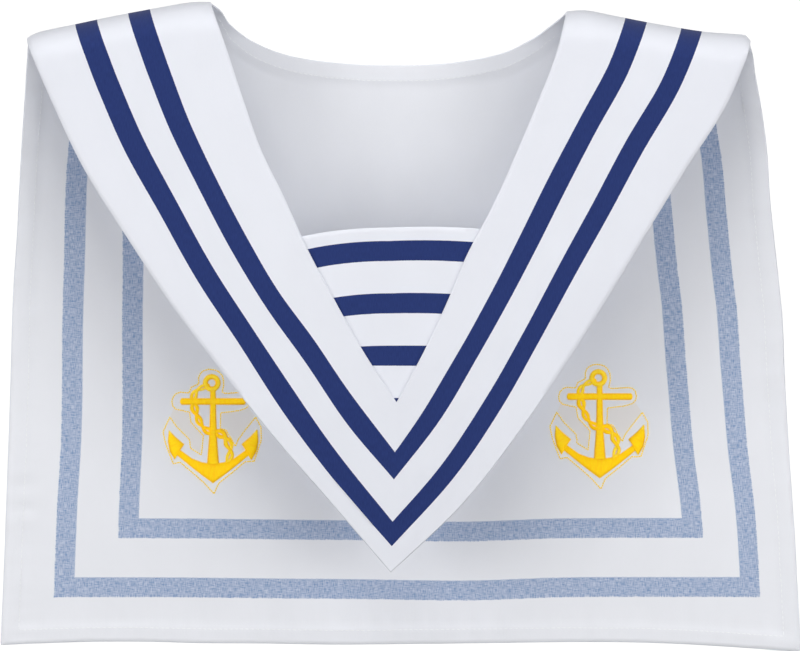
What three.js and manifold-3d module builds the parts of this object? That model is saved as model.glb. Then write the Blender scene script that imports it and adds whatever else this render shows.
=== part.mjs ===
import * as THREE from 'three';
import Module from 'manifold-3d';

// A sailor collar as it hangs over the shoulders. +X is to the right seen from the front,
// the front faces -Y and +Z is up. The origin is the middle of the neck, at the height
// of the left neck corner. All sizes are in millimetres.

// Outline
const neckWidth = 194;
const shoulderSpan = 393;
const shoulderDrop = 20;
const neckBackDrop = 33.5;
const openingDepth = 216;
const pointDepth = 308.5;
const panelWidth = 439;
const panelLength = 350;

// Depth of the hanging collar, from the shoulder fold to each layer
const foldHeight = 18;
const frontDepth = 27;
const backDepth = 24;
const chestSwell = 5;
const backSwell = 4;
const sideFall = 3;
const shoulderTuck = 20;
const hemWave = 1.6;
const hemWaveLength = 150;
const cornerCurl = 3;

// Cloth
const clothWall = 1.2;
const hemWall = 2.0;
const hemWidth = 9;
const hemStep = 0.4;
const clearance = 0.3;

// Stripes
const stripeWidth = 10.8;
const stripeWall = 1.0;
const backStripeGap = 21.5;
const sideBorder = 24.5;
const bottomBorder = 27;

// Insert
const insertDepth = 0.574 * openingDepth;
const insertBow = 4.5;
const insertOverlap = 10;
const insertTail = 10;
const insertStripeWidth = 10.8;
const insertStripePitch = 28.35;
const insertStripeStart = 6.5;
const insertSeat = 0.6;
const insertEase = 1.2;
const insertStripes = 3;

// Anchors
const anchorHeight = 60.4;
const anchorWall = 1.0;
const anchorDrop = 0.5723 * panelLength;
const anchorSpacing = 213;
const anchorShift = 8.4;

// Mesh steps
const foldSteps = 4;
const lapelSteps = 15;
const panelSteps = 9;
const neckSteps = 10;
const curveSteps = 12;

// The two sides differ a little. border and gap are shares of sideBorder and
// backStripeGap, bottom of half the panelWidth and fall of the panelLength. sag is a share
// of insertBow and anchorFall of the anchorHeight.
const sides = {
  left: { sign: -1, border: 1.13, gap: 1.12, bottom: 0.975, fall: 1.0, sag: 1.1, anchorFall: 0.045 },
  right: { sign: 1, border: 0.87, gap: 0.88, bottom: 1.022, fall: 1.013, sag: 0.65, anchorFall: 0 },
};
// The insert and its stripes rise a little to the right, as a share of insertBow.
const insertTilt = 0.5;
// The right end of the bottom stripes lies higher, as a share of shoulderDrop.
const bandLift = 1 / 6;
// Where the stripes of the back stand free of the hem and of the middle, as shares of
// half its width.
const swayHem = 0.12;
const swayMiddle = 0.5;

// The shoulder fold from the neck corner (along 0) to the tip (along 1): height below
// the origin as a share of shoulderDrop.
const foldRows = [
  { along: 0.00, left: 0.00, right: 0.26 },
  { along: 0.10, left: 0.01, right: 0.23 },
  { along: 0.25, left: 0.13, right: 0.37 },
  { along: 0.50, left: 0.36, right: 0.61 },
  { along: 0.75, left: 0.62, right: 0.81 },
  { along: 0.93, left: 0.81, right: 0.88 },
  { along: 0.975, left: 0.90, right: 0.91 },
  { along: 1.00, left: 0.98, right: 1.05 },
];

// The lapels from the shoulder fold (along 0) to the middle of the V (along 1). inner is
// a share of half the neck width, outer of half the shoulder span. innerStripe and
// outerStripe are where each stripe ends, as shares of the lapel from its inner edge, and
// innerWidth and outerWidth are their widths as shares of stripeWidth.
const lapelRows = {
  left: [
    { along: 0.000, inner: 1.014, outer: 1.006, innerStripe: 0.448, innerWidth: 1.10,
      outerStripe: 0.737, outerWidth: 1.09 },
    { along: 0.125, inner: 0.918, outer: 0.926, innerStripe: 0.452, innerWidth: 1.10,
      outerStripe: 0.742, outerWidth: 1.11 },
    { along: 0.250, inner: 0.825, outer: 0.838, innerStripe: 0.455, innerWidth: 1.05,
      outerStripe: 0.745, outerWidth: 1.10 },
    { along: 0.375, inner: 0.725, outer: 0.722, innerStripe: 0.457, innerWidth: 1.00,
      outerStripe: 0.750, outerWidth: 1.03 },
    { along: 0.500, inner: 0.590, outer: 0.600, innerStripe: 0.475, innerWidth: 1.01,
      outerStripe: 0.774, outerWidth: 1.02 },
    { along: 0.625, inner: 0.461, outer: 0.461, innerStripe: 0.479, innerWidth: 0.98,
      outerStripe: 0.791, outerWidth: 1.01 },
    { along: 0.750, inner: 0.313, outer: 0.316, innerStripe: 0.464, innerWidth: 1.04,
      outerStripe: 0.834, outerWidth: 1.10 },
    { along: 0.875, inner: 0.156, outer: 0.157, innerStripe: 0.484, innerWidth: 1.10,
      outerStripe: 0.865, outerWidth: 0.99 },
    { along: 1.000, inner: -0.031, outer: 0.000, innerStripe: 0.446, innerWidth: 0.86,
      outerStripe: 0.838, outerWidth: 0.80 },
  ],
  right: [
    { along: 0.000, inner: 0.986, outer: 0.994, innerStripe: 0.436, innerWidth: 1.07,
      outerStripe: 0.735, outerWidth: 1.02 },
    { along: 0.125, inner: 0.916, outer: 0.918, innerStripe: 0.413, innerWidth: 1.04,
      outerStripe: 0.719, outerWidth: 0.98 },
    { along: 0.250, inner: 0.810, outer: 0.802, innerStripe: 0.399, innerWidth: 1.01,
      outerStripe: 0.717, outerWidth: 0.99 },
    { along: 0.375, inner: 0.695, outer: 0.689, innerStripe: 0.397, innerWidth: 1.04,
      outerStripe: 0.729, outerWidth: 0.98 },
    { along: 0.500, inner: 0.572, outer: 0.579, innerStripe: 0.404, innerWidth: 1.04,
      outerStripe: 0.732, outerWidth: 0.95 },
    { along: 0.625, inner: 0.427, outer: 0.462, innerStripe: 0.425, innerWidth: 1.01,
      outerStripe: 0.761, outerWidth: 0.93 },
    { along: 0.750, inner: 0.312, outer: 0.336, innerStripe: 0.423, innerWidth: 1.01,
      outerStripe: 0.792, outerWidth: 0.96 },
    { along: 0.875, inner: 0.183, outer: 0.191, innerStripe: 0.439, innerWidth: 1.10,
      outerStripe: 0.818, outerWidth: 0.95 },
    { along: 1.000, inner: 0.031, outer: 0.000, innerStripe: 0.446, innerWidth: 0.89,
      outerStripe: 0.838, outerWidth: 0.84 },
  ],
};

// The neckline at the back from the left corner (along 0) to the right corner: place
// across as a share of half the neck width, drop as a share of neckBackDrop.
const neckRows = [
  { along: 0.00, across: -1.014, drop: 0.00 },
  { along: 0.05, across: -0.958, drop: 0.115 },
  { along: 0.10, across: -0.912, drop: 0.32 },
  { along: 0.20, across: -0.775, drop: 0.62 },
  { along: 0.32, across: -0.560, drop: 0.85 },
  { along: 0.43, across: -0.260, drop: 0.97 },
  { along: 0.53, across: 0.040, drop: 1.00 },
  { along: 0.64, across: 0.335, drop: 0.96 },
  { along: 0.75, across: 0.618, drop: 0.81 },
  { along: 0.86, across: 0.800, drop: 0.56 },
  { along: 0.94, across: 0.905, drop: 0.34 },
  { along: 1.00, across: 0.986, drop: 0.16 },
];

// The sides of the back panel from the shoulder tip (down 0) to the bottom corner: how
// much of the flare from the shoulder to the bottom width is reached.
const flareRows = [
  { down: 0.00, left: 0.00, right: 0.00 },
  { down: 0.02, left: 0.035, right: 0.07 },
  { down: 0.05, left: 0.08, right: 0.12 },
  { down: 0.11, left: 0.155, right: 0.24 },
  { down: 0.18, left: 0.25, right: 0.345 },
  { down: 0.26, left: 0.345, right: 0.405 },
  { down: 0.32, left: 0.415, right: 0.48 },
  { down: 0.41, left: 0.555, right: 0.60 },
  { down: 0.46, left: 0.605, right: 0.66 },
  { down: 0.56, left: 0.675, right: 0.715 },
  { down: 0.71, left: 0.78, right: 0.815 },
  { down: 0.82, left: 0.86, right: 0.90 },
  { down: 0.92, left: 0.935, right: 0.955 },
  { down: 1.00, left: 1.00, right: 1.00 },
];

// How far the stripes at the sides of the back stand inwards, as a share of hemWidth.
const swayRows = [
  { down: 0.00, left: 0.00, right: 0.00 },
  { down: 0.15, left: -0.08, right: 0.12 },
  { down: 0.24, left: -0.20, right: -0.04 },
  { down: 0.31, left: -0.18, right: 0.03 },
  { down: 0.40, left: -0.04, right: 0.14 },
  { down: 0.50, left: 0.00, right: 0.12 },
  { down: 0.60, left: 0.08, right: 0.035 },
  { down: 0.68, left: 0.10, right: -0.02 },
  { down: 0.78, left: 0.00, right: -0.19 },
  { down: 1.00, left: -0.02, right: -0.18 },
];

// How far the stripes along the bottom droop, as a share of bottomBorder.
const droopRows = [
  { across: 0.00, droop: 0.085 },
  { across: 0.20, droop: 0.085 },
  { across: 0.42, droop: 0.110 },
  { across: 0.58, droop: 0.135 },
  { across: 0.70, droop: 0.065 },
  { across: 0.85, droop: 0.045 },
  { across: 1.00, droop: 0.030 },
];

// The bottom edge from left to right: its length below the origin as a share of
// panelLength.
const bottomRows = [
  { across: 0.00, length: 1.0023 },
  { across: 0.10, length: 0.9987 },
  { across: 0.18, length: 0.9986 },
  { across: 0.25, length: 1.0007 },
  { across: 0.33, length: 1.001 },
  { across: 0.43, length: 1.0033 },
  { across: 0.55, length: 1.0018 },
  { across: 0.70, length: 0.9991 },
  { across: 0.78, length: 0.9994 },
  { across: 0.86, length: 1.0025 },
  { across: 1.00, length: 1.0125 },
];

// The curve of each shape is a smooth line through the rows of its table.
function readTable(rows, key, column, at) {
  const last = rows.length - 1;
  let k = 0;
  while (k < last - 1 && at > rows[k + 1][key]) k += 1;
  const a = rows[k];
  const b = rows[k + 1];
  const before = rows[Math.max(k - 1, 0)];
  const after = rows[Math.min(k + 2, last)];
  const span = b[key] - a[key];
  const t = THREE.MathUtils.clamp((at - a[key]) / span, 0, 1);
  const startSlope = (b[column] - before[column]) / (b[key] - before[key]) * span;
  const endSlope = (after[column] - a[column]) / (after[key] - a[key]) * span;
  const t2 = t * t;
  const t3 = t2 * t;
  return (2 * t3 - 3 * t2 + 1) * a[column] + (t3 - 2 * t2 + t) * startSlope
    + (3 * t2 - 2 * t3) * b[column] + (t3 - t2) * endSlope;
}

const mix = THREE.MathUtils.lerp;

function sideOf(x) {
  return x < 0 ? 'left' : 'right';
}

function cornerX(side) {
  return neckWidth / 2 * lapelRows[side][0].inner;
}

function tipX(side) {
  return shoulderSpan / 2 * lapelRows[side][0].outer;
}

// Height of the shoulder fold, carried straight across the neck between its corners.
function foldLine(x) {
  const side = sideOf(x);
  const reach = (Math.abs(x) - cornerX(side)) / (tipX(side) - cornerX(side));
  if (reach >= 0) {
    return -shoulderDrop * readTable(foldRows, 'along', side, Math.min(reach, 1));
  }
  const share = (x + cornerX('left')) / (cornerX('left') + cornerX('right'));
  return -shoulderDrop * mix(foldRows[0].left, foldRows[0].right, share);
}

// The cloth turns over the fold in a quarter ellipse: 0 on the fold, 1 below it.
function turn(x, z) {
  const down = THREE.MathUtils.clamp((foldLine(x) - z) / foldHeight, 0, 1);
  return Math.sqrt(1 - (1 - down) ** 2);
}

function swell(z, length) {
  return Math.sin(Math.PI * THREE.MathUtils.clamp(-z / length, 0, 1));
}

function frontY(x, z) {
  const across = (2 * x / shoulderSpan) ** 2;
  const depth = frontDepth + chestSwell * swell(z, pointDepth) * (1 - across) - sideFall * across;
  return -depth * turn(x, z);
}

// Near the shoulder tips the back hangs closer to the front: fully down to tuckStart, as a
// share of the panelLength, and no more below tuckEnd.
const tuckStart = 0.17;
const tuckEnd = 0.66;

function backY(x, z) {
  const across = (2 * x / panelWidth) ** 2;
  const low = THREE.MathUtils.clamp(-z / panelLength, 0, 1) ** 2;
  const tucked = 1 - THREE.MathUtils.smoothstep(-z / panelLength, tuckStart, tuckEnd);
  const wave = hemWave * low * Math.cos(2 * Math.PI * x / hemWaveLength);
  const curl = cornerCurl * low ** 2 * across ** 2;
  const tuck = shoulderTuck * tucked * across ** 2;
  const depth = backDepth + backSwell * swell(z, panelLength) * (1 - across) - sideFall * across;
  return (depth + wave - curl - tuck) * turn(x, z);
}

// Finds the outward direction at every point of a grid. flat rows are the ends on the
// shoulder fold, where the cloth is cut square to the depth.
function gridNormals(grid, outwards, flatRows) {
  const lastRow = grid.length - 1;
  const lastColumn = grid[0].length - 1;
  return grid.map((row, i) => row.map((point, j) => {
    const down = new THREE.Vector3().subVectors(
      grid[Math.min(i + 1, lastRow)][j], grid[Math.max(i - 1, 0)][j]);
    const across = new THREE.Vector3().subVectors(
      row[Math.min(j + 1, lastColumn)], row[Math.max(j - 1, 0)]);
    const normal = new THREE.Vector3().crossVectors(across, down);
    if (flatRows.includes(i)) normal.y = 0;
    return normal.normalize().multiplyScalar(outwards);
  }));
}

// Closes the chosen cells of a grid into one body between two heights along its
// outward directions.
function closedSheet(sheet, low, high, cells) {
  const { grid, normals } = sheet;
  const rows = grid.length;
  const columns = grid[0].length;
  const positions = [];
  for (const height of [low, high]) {
    for (let i = 0; i < rows; i += 1) {
      for (let j = 0; j < columns; j += 1) {
        const point = grid[i][j].clone().addScaledVector(normals[i][j], height(i, j));
        positions.push(point.x, point.y, point.z);
      }
    }
  }
  const under = (i, j) => i * columns + j;
  const over = (i, j) => rows * columns + i * columns + j;
  const inside = (i, j) => i >= 0 && j >= 0 && i < rows - 1 && j < columns - 1 && cells(i, j);
  const triangles = [];
  const wall = (i1, j1, i2, j2) => {
    triangles.push(under(i1, j1), over(i1, j1), over(i2, j2));
    triangles.push(under(i1, j1), over(i2, j2), under(i2, j2));
  };
  for (let i = 0; i < rows - 1; i += 1) {
    for (let j = 0; j < columns - 1; j += 1) {
      if (!inside(i, j)) continue;
      triangles.push(over(i, j), over(i, j + 1), over(i + 1, j + 1));
      triangles.push(over(i, j), over(i + 1, j + 1), over(i + 1, j));
      triangles.push(under(i, j), under(i + 1, j + 1), under(i, j + 1));
      triangles.push(under(i, j), under(i + 1, j), under(i + 1, j + 1));
      if (!inside(i - 1, j)) wall(i, j + 1, i, j);
      if (!inside(i + 1, j)) wall(i + 1, j, i + 1, j + 1);
      if (!inside(i, j - 1)) wall(i, j, i + 1, j);
      if (!inside(i, j + 1)) wall(i + 1, j + 1, i, j + 1);
    }
  }
  return facingOut(usedPoints(positions, triangles));
}

// Keeps only the points that the triangles use.
function usedPoints(positions, triangles) {
  const places = new Map();
  const kept = [];
  const index = triangles.map((n) => {
    if (!places.has(n)) {
      places.set(n, kept.length / 3);
      kept.push(positions[3 * n], positions[3 * n + 1], positions[3 * n + 2]);
    }
    return places.get(n);
  });
  const geometry = new THREE.BufferGeometry();
  geometry.setAttribute('position', new THREE.Float32BufferAttribute(kept, 3));
  geometry.setIndex(index);
  return geometry;
}

// Turns every triangle over where the body is inside out.
function facingOut(geometry) {
  const p = geometry.getAttribute('position');
  const index = geometry.getIndex();
  const [a, b, c] = [new THREE.Vector3(), new THREE.Vector3(), new THREE.Vector3()];
  let volume = 0;
  for (let n = 0; n < index.count; n += 3) {
    a.fromBufferAttribute(p, index.getX(n));
    b.fromBufferAttribute(p, index.getX(n + 1));
    c.fromBufferAttribute(p, index.getX(n + 2));
    volume += a.dot(b.cross(c));
  }
  if (volume < 0) {
    for (let n = 0; n < index.count; n += 3) {
      const second = index.getX(n + 1);
      index.setX(n + 1, index.getX(n + 2));
      index.setX(n + 2, second);
    }
  }
  return geometry;
}

const material = (color, roughness) => new THREE.MeshStandardMaterial({ color, roughness, metalness: 0 });
const whiteCotton = material(0xeef0f4, 0.9);
const navyPrint = material(0x22346f, 0.85);
const yellowThread = material(0xf6c521, 0.55);

function namedMesh(name, geometry, cloth) {
  const mesh = new THREE.Mesh(geometry, cloth);
  mesh.name = name;
  return mesh;
}

// Shares of a lapel's length over which its direction is taken.
const slopeReach = 0.02;

// The places of the lines along a lapel, from its inner edge (0) to its outer edge (1).
// A stripe is wider along the row where the row crosses it at a slant.
function lapelLines(side, along) {
  const read = (column) => readTable(lapelRows[side], 'along', column, along);
  const inner = lapelEdge(side, along, 'inner');
  const outer = lapelEdge(side, along, 'outer');
  const next = lapelEdge(side, Math.min(along + slopeReach, 1), 'outer');
  const back = lapelEdge(side, Math.max(along - slopeReach, 0), 'outer');
  const row = new THREE.Vector2().subVectors(outer, inner);
  const edge = new THREE.Vector2().subVectors(next, back).normalize();
  const square = Math.abs(row.cross(edge));
  const innerWidth = read('innerWidth') * stripeWidth / square;
  const outerWidth = read('outerWidth') * stripeWidth / square;
  const hem = hemWidth / square;
  const gap = hemStep / square;
  const innerEnd = read('innerStripe');
  const outerEnd = read('outerStripe');
  return [0, hem, hem + gap, innerEnd - innerWidth, innerEnd, outerEnd - outerWidth, outerEnd,
    1 - hem - gap, 1 - hem, 1];
}
const lapelLineNames = { innerHem: 2, innerStripe: 3, outerStripe: 5, outerHem: 7 };

function lapelEdge(side, along, edge) {
  const sign = sides[side].sign;
  const share = readTable(lapelRows[side], 'along', edge, along);
  const top = foldLine(sign * (edge === 'inner' ? cornerX(side) : tipX(side)));
  const half = edge === 'inner' ? neckWidth / 2 : shoulderSpan / 2;
  const depth = edge === 'inner' ? openingDepth : pointDepth;
  return new THREE.Vector2(sign * share * half, mix(top, -depth, along));
}

// A point of the front layer. The rows bend up to the fold line near the shoulder.
function frontPoint(side, along, across) {
  const inner = lapelEdge(side, along, 'inner');
  const outer = lapelEdge(side, along, 'outer');
  const place = inner.clone().lerp(outer, across);
  const top = lapelEdge(side, 0, 'inner').lerp(lapelEdge(side, 0, 'outer'), across);
  const lift = Math.max(0, 1 - along * pointDepth / (2 * foldHeight));
  const z = place.y + lift * (foldLine(top.x) - top.y);
  return new THREE.Vector3(place.x, frontY(place.x, z), z);
}

// Rows along a lapel: close together over the fold, then even.
function lapelRowPlaces() {
  const length = (openingDepth + pointDepth) / 2;
  const turned = foldHeight / length;
  const rows = [];
  for (let k = 0; k < foldSteps; k += 1) {
    rows.push(turned * (1 - Math.cos(Math.PI / 2 * k / foldSteps)));
  }
  for (let k = 0; k <= lapelSteps; k += 1) {
    rows.push(mix(turned, 1, k / lapelSteps));
  }
  return rows;
}

function frontSheet() {
  const rows = lapelRowPlaces();
  const arm = (side) => rows.map((along) =>
    lapelLines(side, along).map((across) => frontPoint(side, along, across)));
  const grid = [...arm('left'), ...arm('right').reverse().slice(1)];
  for (const end of [grid[0], grid[grid.length - 1]]) {
    for (const point of end) point.y = -clearance / 2;
  }
  return { grid, normals: gridNormals(grid, 1, [0, grid.length - 1]) };
}

// Half the width of the back panel at a share of its length.
function panelEdge(side, down) {
  const sign = sides[side].sign;
  const top = tipX(side);
  const bottom = panelWidth / 2 * sides[side].bottom;
  return sign * mix(top, bottom, readTable(flareRows, 'down', side, down));
}

// The columns of the back panel: top point, and place across the bottom edge.
function backColumns() {
  const bottomX = (side) => panelEdge(side, 1);
  const shoulder = (side) => {
    const sign = sides[side].sign;
    const lines = lapelLines(side, 0);
    const border = sideBorder * sides[side].border;
    const second = border + stripeWidth + backStripeGap * sides[side].gap;
    const fromEdge = [0, hemWidth, hemWidth + hemStep, border, border + stripeWidth,
      second, second + stripeWidth];
    const shares = [1, lines[8], lines[7], lines[6], lines[5], lines[4], lines[3]];
    return shares.map((share, n) => {
      const x = sign * mix(cornerX(side), tipX(side), share);
      return { x, z: foldLine(x), bottom: bottomX(side) - sign * fromEdge[n] };
    });
  };
  const left = shoulder('left');
  const right = shoulder('right').reverse();
  const from = left[left.length - 1].bottom;
  const to = right[0].bottom;
  const middle = [];
  for (let k = 0; k <= neckSteps; k += 1) {
    const along = k / neckSteps;
    const x = neckWidth / 2 * readTable(neckRows, 'along', 'across', along);
    const z = k === 0 || k === neckSteps ? foldLine(x)
      : -neckBackDrop * readTable(neckRows, 'along', 'drop', along);
    middle.push({ x, z, bottom: mix(from, to, (k + 1) / (neckSteps + 2)), neck: true });
  }
  return [...left, ...middle, ...right];
}

// The rows of the back panel in one column, from its top point to the bottom edge.
function backRows(column) {
  const across = (column.bottom - panelEdge('left', 1)) / (panelEdge('right', 1) - panelEdge('left', 1));
  const bottom = -panelLength * readTable(bottomRows, 'across', 'length', across);
  const fall = -panelLength * mix(sides.left.fall, sides.right.fall, across);
  const lift = bandLift * shoulderDrop * across;
  const droop = readTable(droopRows, 'across', 'droop', across);
  const outerBand = fall + bottomBorder * (1 - droop) + lift;
  const innerBand = outerBand + stripeWidth + backStripeGap;
  const turned = Math.min(foldLine(column.x) - foldHeight, column.z - hemWidth);
  const rows = [];
  for (let k = 0; k <= foldSteps; k += 1) {
    rows.push(mix(column.z, turned, 1 - Math.cos(Math.PI / 2 * k / foldSteps)));
  }
  for (let k = 0; k < panelSteps; k += 1) {
    rows.push(mix(turned - hemStep, innerBand + stripeWidth, k / panelSteps));
  }
  rows.push(innerBand + stripeWidth, innerBand, mix(innerBand, outerBand + stripeWidth, 0.5));
  rows.push(outerBand + stripeWidth, outerBand);
  rows.push(bottom + hemWidth + hemStep, bottom + hemWidth, bottom);
  return rows;
}
const neckHemRow = foldSteps;
const innerBandRow = foldSteps + 1 + panelSteps;
const outerBandRow = innerBandRow + 3;
const bottomHemRow = outerBandRow + 2;

// How far each column has moved from its top place to its bottom place.
function backPoint(column, z) {
  const down = THREE.MathUtils.clamp((column.z - z) / (column.z + panelLength), 0, 1);
  const side = sideOf(column.x);
  const flare = readTable(flareRows, 'down', side, down);
  const hung = mix(column.x, column.bottom, column.neck ? down : flare);
  const out = hung / panelEdge(side, down);
  const free = Math.min((1 - out) / swayHem, out / swayMiddle, 1);
  const sway = readTable(swayRows, 'down', side, down) * hemWidth * Math.max(free, 0);
  const x = hung - sides[side].sign * sway;
  return new THREE.Vector3(x, backY(x, z), z);
}

function backSheet() {
  const columns = backColumns();
  const heights = columns.map(backRows);
  const grid = heights[0].map((unused, i) => columns.map((column, j) => backPoint(column, heights[j][i])));
  columns.forEach((column, j) => {
    if (column.z >= foldLine(column.x)) grid[0][j].y = clearance / 2;
  });
  return { grid, columns, normals: gridNormals(grid, 1, []) };
}

// The folded neck ends of the back panel are cut square to the depth too.
function squareTopEnds(sheet) {
  sheet.columns.forEach((column, j) => {
    if (column.z < foldLine(column.x)) return;
    sheet.normals[0][j].y = 0;
    sheet.normals[0][j].normalize();
  });
  return sheet;
}

const front = frontSheet();
const back = squareTopEnds(backSheet());

function frontPanel() {
  const wall = (i, j) => {
    const inHem = j < lapelLineNames.innerHem || j > lapelLineNames.outerHem;
    return inHem ? -hemWall : -clothWall;
  };
  return closedSheet(front, wall, () => 0, () => true);
}

function backPanel() {
  const lastColumn = back.columns.length - 1;
  const wall = (i, j) => {
    const inSideHem = j < 2 || j > lastColumn - 2;
    const inBottomHem = i > bottomHemRow;
    const inNeckHem = i <= neckHemRow && back.columns[j].neck === true;
    return inSideHem || inBottomHem || inNeckHem ? -hemWall : -clothWall;
  };
  return closedSheet(back, wall, () => 0, () => true);
}

const printLow = () => clearance;
const printHigh = () => clearance + stripeWall;

function frontStripe(line) {
  return closedSheet(front, printLow, printHigh, (i, j) => j === line);
}

// A back stripe runs down one side, along the bottom and up the other side.
function backStripe(column, row) {
  const mirrored = back.columns.length - 2 - column;
  const chosen = (i, j) => {
    if (i === row) return j >= column && j <= mirrored;
    return i < row && (j === column || j === mirrored);
  };
  return closedSheet(back, printLow, printHigh, chosen);
}
const outerBarColumn = 3;
const innerBarColumn = 5;

// Where the inner edge of a lapel stands at a height.
function openingX(side, z) {
  const top = foldLine(sides[side].sign * cornerX(side));
  const along = THREE.MathUtils.clamp((top - z) / (top + openingDepth), 0, 1);
  return lapelEdge(side, along, 'inner').x;
}

// How much less than its top each stripe of the insert sags at its lower edge and the cloth
// below it, and how much of insertOverlap is left at its lower end.
const insertCalm = { lower: 0.7, between: 0.5, tail: 0.4 };

// The insert closes the lower end of the V from behind. Its rows follow its stripes, which
// sag towards its sides, most at the top. across runs from -1 to 1 between its seams.
function insertPoint(depth, sag, across, hidden) {
  const side = sideOf(across);
  const bow = sides[side].sag * across ** 2 - insertTilt * Math.max(across, 0);
  const z = -depth - insertBow * sag * bow;
  const left = openingX('left', z);
  const right = openingX('right', z);
  const half = Math.max((right - left) / 2 - insertEase, insertEase);
  const x = (left + right) / 2 + across * half + Math.sign(across) * hidden;
  return new THREE.Vector3(x, frontY(x, z) + hemWall + insertSeat, z);
}

function insertSheet() {
  const levels = [{ depth: insertDepth, sag: 1 }];
  for (let k = 0; k < insertStripes; k += 1) {
    const start = insertDepth + insertStripeStart + k * insertStripePitch;
    const sag = 1 - k / (insertStripes - 1);
    const between = (insertStripePitch + insertStripeWidth) / 2;
    levels.push({ depth: start, sag }, { depth: start + insertStripeWidth, sag: sag * insertCalm.lower });
    levels.push({ depth: start + between, sag: sag * insertCalm.between });
  }
  levels.push({ depth: openingDepth + insertTail, sag: 0 });
  const steps = [-1, -0.7, -0.35, 0, 0.35, 0.7, 1];
  const grid = levels.map(({ depth, sag }, i) => {
    const hidden = insertOverlap * (i === levels.length - 1 ? insertCalm.tail : 1);
    const seen = steps.map((across) => insertPoint(depth, sag, across, 0));
    const ends = [-1, 1].map((across) => insertPoint(depth, sag, across, hidden + insertEase));
    return [ends[0], ...seen, ends[1]];
  });
  return { grid, normals: gridNormals(grid, -1, []) };
}
const insert = insertSheet();

function insertPanel() {
  return closedSheet(insert, () => -clothWall, () => 0, () => true);
}

function insertStripe(k) {
  const row = 1 + 3 * k;
  const seams = insert.grid[0].length - 2;
  return closedSheet(insert, printLow, printHigh, (i, j) => i === row && j > 0 && j < seams);
}

const wasm = await Module();
wasm.setup();

function toSolid(geometry) {
  const merged = new wasm.Mesh({
    numProp: 3,
    vertProperties: new Float32Array(geometry.getAttribute('position').array),
    triVerts: new Uint32Array(geometry.getIndex().array),
  });
  merged.merge();
  return new wasm.Manifold(merged);
}

function toGeometry(solid) {
  const { vertProperties, triVerts } = solid.getMesh();
  const geometry = new THREE.BufferGeometry();
  geometry.setAttribute('position', new THREE.Float32BufferAttribute(vertProperties, 3));
  geometry.setIndex(Array.from(triVerts));
  return geometry;
}

// One flat piece of an anchor, in shares of its height: x to the right, y up.
function flatPiece(shape) {
  const geometry = new THREE.ExtrudeGeometry(shape, {
    depth: anchorWall, bevelEnabled: false, curveSegments: curveSteps,
  });
  geometry.deleteAttribute('normal');
  geometry.deleteAttribute('uv');
  const plain = geometry.index ? geometry : withIndex(geometry);
  return toSolid(plain);
}

function withIndex(geometry) {
  const count = geometry.getAttribute('position').count;
  geometry.setIndex(Array.from({ length: count }, (unused, n) => n));
  return geometry;
}

function outlined(points) {
  return new THREE.Shape(points.map(([x, y]) => new THREE.Vector2(x * anchorHeight, y * anchorHeight)));
}

// Proportions of the anchor as shares of its height, measured up from its crown tip and
// out from its middle. The stock rises a little to the right.
const anchorForm = {
  ring: { centre: 0.922, radius: 0.078, hole: 0.040 },
  stock: { height: 0.752, half: 0.297, thick: 0.062, tilt: 0.011 },
  shank: { top: 0.865, bottom: 0.17, topHalf: 0.022, bottomHalf: 0.05 },
  arms: { reach: 0.325, underRise: 0.26, overStart: 0.19, overRise: 0.135 },
};

// The outline of a fluke, from its tip inwards and around.
const flukeRows = [
  { out: 0.402, up: 0.490 },
  { out: 0.260, up: 0.362 },
  { out: 0.300, up: 0.309 },
  { out: 0.349, up: 0.225 },
  { out: 0.410, up: 0.388 },
];

function ringShape() {
  const { centre, radius, hole } = anchorForm.ring;
  const shape = new THREE.Shape();
  shape.absarc(0, centre * anchorHeight, radius * anchorHeight, 0, 2 * Math.PI);
  const inside = new THREE.Path();
  inside.absarc(0, centre * anchorHeight, hole * anchorHeight, 0, 2 * Math.PI, true);
  shape.holes.push(inside);
  return shape;
}

function stockShape() {
  const { height, half, thick, tilt } = anchorForm.stock;
  return outlined([[-half, height - tilt - thick / 2], [half, height + tilt - thick / 2],
    [half, height + tilt + thick / 2], [-half, height - tilt + thick / 2]]);
}

function shankShape() {
  const { top, bottom, topHalf, bottomHalf } = anchorForm.shank;
  return outlined([[-bottomHalf, bottom], [bottomHalf, bottom], [topHalf, top], [-topHalf, top]]);
}

// The arms are a crescent with a pointed crown.
function armsShape() {
  const { reach, underRise, overStart, overRise } = anchorForm.arms;
  const points = [[-reach, underRise], [0, 0], [reach, underRise]];
  for (let k = 0; k <= curveSteps; k += 1) {
    const share = 1 - 2 * k / curveSteps;
    points.push([share * reach, overStart + overRise * share ** 2]);
  }
  return outlined(points);
}

function flukeShape(sign) {
  return outlined(flukeRows.map(({ out, up }) => [sign * out, up]));
}

// The cloth around an anchor that lifts it: how far out, as a share of the anchorHeight,
// and up to which height.
const anchorSurround = 0.75;
const anchorBend = 1;

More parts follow.
